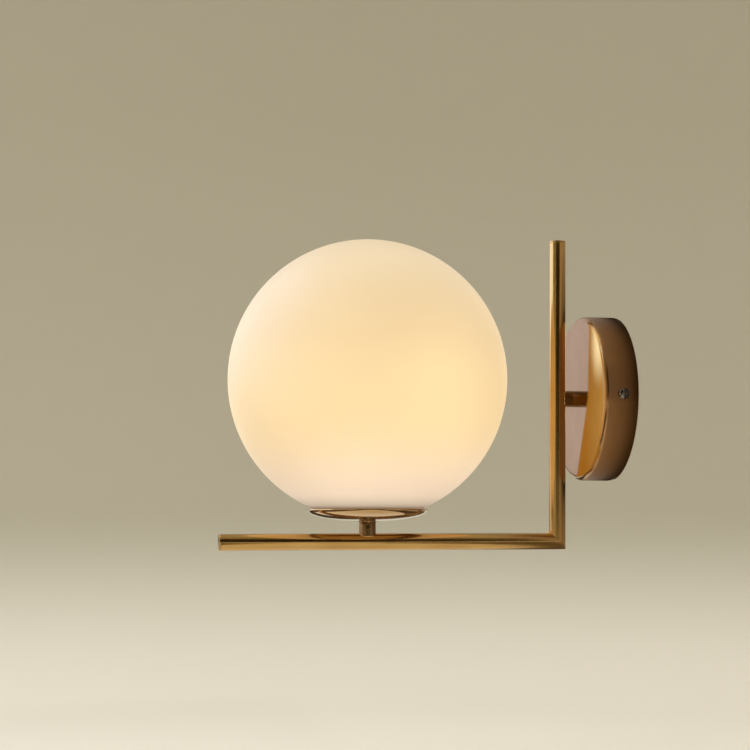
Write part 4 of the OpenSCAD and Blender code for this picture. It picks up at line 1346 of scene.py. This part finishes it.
    def wall_card(self):
        """A ring of wall round the plate that only reflections see: its radius runs from the plate outwards.
        It is nearly black in the gap behind the plate's edge, dim in the corner and paler further out."""
        corner, gap_end, shade_end, reach, off_wall, steps = 0.061, 0.078, 0.14, 0.2, 0.001, 25
        radius, turn = np.meshgrid(
            np.linspace(corner, reach, steps), np.linspace(-math.pi, math.pi, 4 * steps), indexing="ij"
        )
        points = np.stack([radius * np.cos(turn), off_wall + 0 * radius, radius * np.sin(turn)], -1)
        material, tree, output = new_material("wall_in_shade")
        place = add_node(tree, "ShaderNodeTexCoord").outputs["Object"]
        distance = add_node(tree, "ShaderNodeVectorMath", {0: place}, operation="LENGTH").outputs["Value"]
        wall = graded(tree, distance, corner, shade_end, linear("#5A4B3C"), linear("#BAAA9A"))
        tone = graded(tree, distance, corner, gap_end, linear("#0A0806"), wall)
        glow = add_node(tree, "ShaderNodeEmission", {"Color": tone, "Strength": 1.0})
        surface = points.reshape(-1, 3), grid_faces(steps, 4 * steps, False, False)
        ring = add_to_stage("card_wall_ring", surface, finished(material, tree, output, glow))
        hide_from_all_but_gloss(ring)

    def card(self, name, surface, tint, strength):
        """A card of one even tint."""
        material, tree, output = new_material(name + "_paper")
        shade = add_node(tree, "ShaderNodeEmission", {"Color": linear(tint), "Strength": strength})
        hide_from_all_but_gloss(add_to_stage(name, surface, finished(material, tree, output, shade)))

    def lamps(self):
        """Large soft lamps: a key from the window's side, a fill from the camera's side and one from above.
        Each has its place, its width, its power and its tint, and all face the middle of the sconce."""
        aim = np.array([0, -0.15, 0])
        for name, place, size, power, tint in (
            ("key", (-0.1, -1.6, 1.9), 1.6, 25, "#F0F6FF"),
            ("fill", (2.1, -0.6, 0.8), 1.4, 6, "#FFFAF0"),
            ("top", (-0.7, 0.1, 2.4), 1.6, 25, "#FFFCF5"),
        ):
            lamp = bpy.data.lights.new(name, "AREA")
            lamp.shape, lamp.size, lamp.energy = "DISK", size, power
            lamp.color = linear(tint)[:3]
            holder = bpy.data.objects.new(name, lamp)
            holder.visible_glossy = False
            back = np.array(place, float) - aim
            back /= np.linalg.norm(back)
            side = np.cross((0, 0, 1), back)
            side /= np.linalg.norm(side)
            turned = np.stack([side, np.cross(back, side), back], -1)
            holder.matrix_world = Matrix.Translation(place) @ Matrix(turned.tolist()).to_4x4()
            bpy.context.scene.collection.objects.link(holder)

    def world(self, paint_colour):
        """The room's even light, and the backdrop's colour wherever an eye or a reflection looks past the
        floor."""
        world = bpy.data.worlds.new("room")
        world.use_nodes = True
        tree = world.node_tree
        tree.nodes.clear()
        output = add_node(tree, "ShaderNodeOutputWorld")
        rays = add_node(tree, "ShaderNodeLightPath").outputs
        direct = add_node(
            tree, "ShaderNodeMath", {0: rays["Is Camera Ray"], 1: rays["Is Glossy Ray"]}, operation="MAXIMUM"
        )
        seen = add_node(
            tree, "ShaderNodeMath", {0: direct, 1: rays["Is Transmission Ray"]}, operation="MAXIMUM"
        )
        light = add_node(tree, "ShaderNodeBackground", {"Color": linear("#FFFAF2"), "Strength": 0.85})
        shown = add_node(tree, "ShaderNodeBackground", {"Color": paint_colour, "Strength": 1.0})
        mix = add_node(tree, "ShaderNodeMixShader", {0: seen, 1: light, 2: shown})
        tree.links.new(mix.outputs[0], output.inputs["Surface"])
        bpy.context.scene.world = world

    def camera(self, context):
        """A level camera to the lamp's side, shifted up so that the tubes stay upright in the picture."""
        azimuth, distance = math.radians(78.7), 1.2
        aim = np.array([0, -0.1775, -0.0833])
        back = np.array([math.sin(azimuth), -math.cos(azimuth), 0])
        side = np.cross((0, 0, 1), back)
        turned = np.stack([side, (0, 0, 1), back], -1)
        data = bpy.data.cameras.new("camera")
        data.sensor_width, data.lens, data.shift_y = 36, 80.2, 0.183
        camera = bpy.data.objects.new("camera", data)
        camera.matrix_world = Matrix.Translation(aim + distance * back) @ Matrix(turned.tolist()).to_4x4()
        context.scene.collection.objects.link(camera)
        context.scene.camera = camera


OPERATORS = (
    SCONCE_OT_finishes,
    SCONCE_OT_wall_plate,
    SCONCE_OT_side_screws,
    SCONCE_OT_bracket,
    SCONCE_OT_fixings,
    SCONCE_OT_tubes,
    SCONCE_OT_saucer,
    SCONCE_OT_gallery,
    SCONCE_OT_lampholder,
    SCONCE_OT_wires,
    SCONCE_OT_globe,
    SCONCE_OT_bulb,
    SCONCE_OT_stage,
)


class SCONCE_PT_panel(bpy.types.Panel):
    """Lists the sizes, the finishes and a button for each piece"""

    bl_idname = "SCONCE_PT_panel"
    bl_label = "Globe wall sconce"
    bl_space_type = "VIEW_3D"
    bl_region_type = "UI"
    bl_category = "Sconce"

    def draw(self, context):
        for group in (context.scene.sconce_sizes, context.scene.sconce_finishes):
            column = self.layout.column()
            for name in group.__annotations__:
                column.prop(group, name)
        for operator in OPERATORS:
            self.layout.operator(operator.bl_idname)


CLASSES = (SconceSizes, SconceFinishes, *OPERATORS, SCONCE_PT_panel)


def register():
    """Registers the classes and gives each scene its sizes and its colours."""
    for item in CLASSES:
        bpy.utils.register_class(item)
    bpy.types.Scene.sconce_sizes = bpy.props.PointerProperty(type=SconceSizes)
    bpy.types.Scene.sconce_finishes = bpy.props.PointerProperty(type=SconceFinishes)


def unregister():
    """Takes back what register does, in the opposite order."""
    del bpy.types.Scene.sconce_finishes
    del bpy.types.Scene.sconce_sizes
    for item in reversed(CLASSES):
        bpy.utils.unregister_class(item)


def main():
    register()
    for operator in OPERATORS:
        group, name = operator.bl_idname.split(".")
        getattr(getattr(bpy.ops, group), name)()


if __name__ == "__main__":
    main()
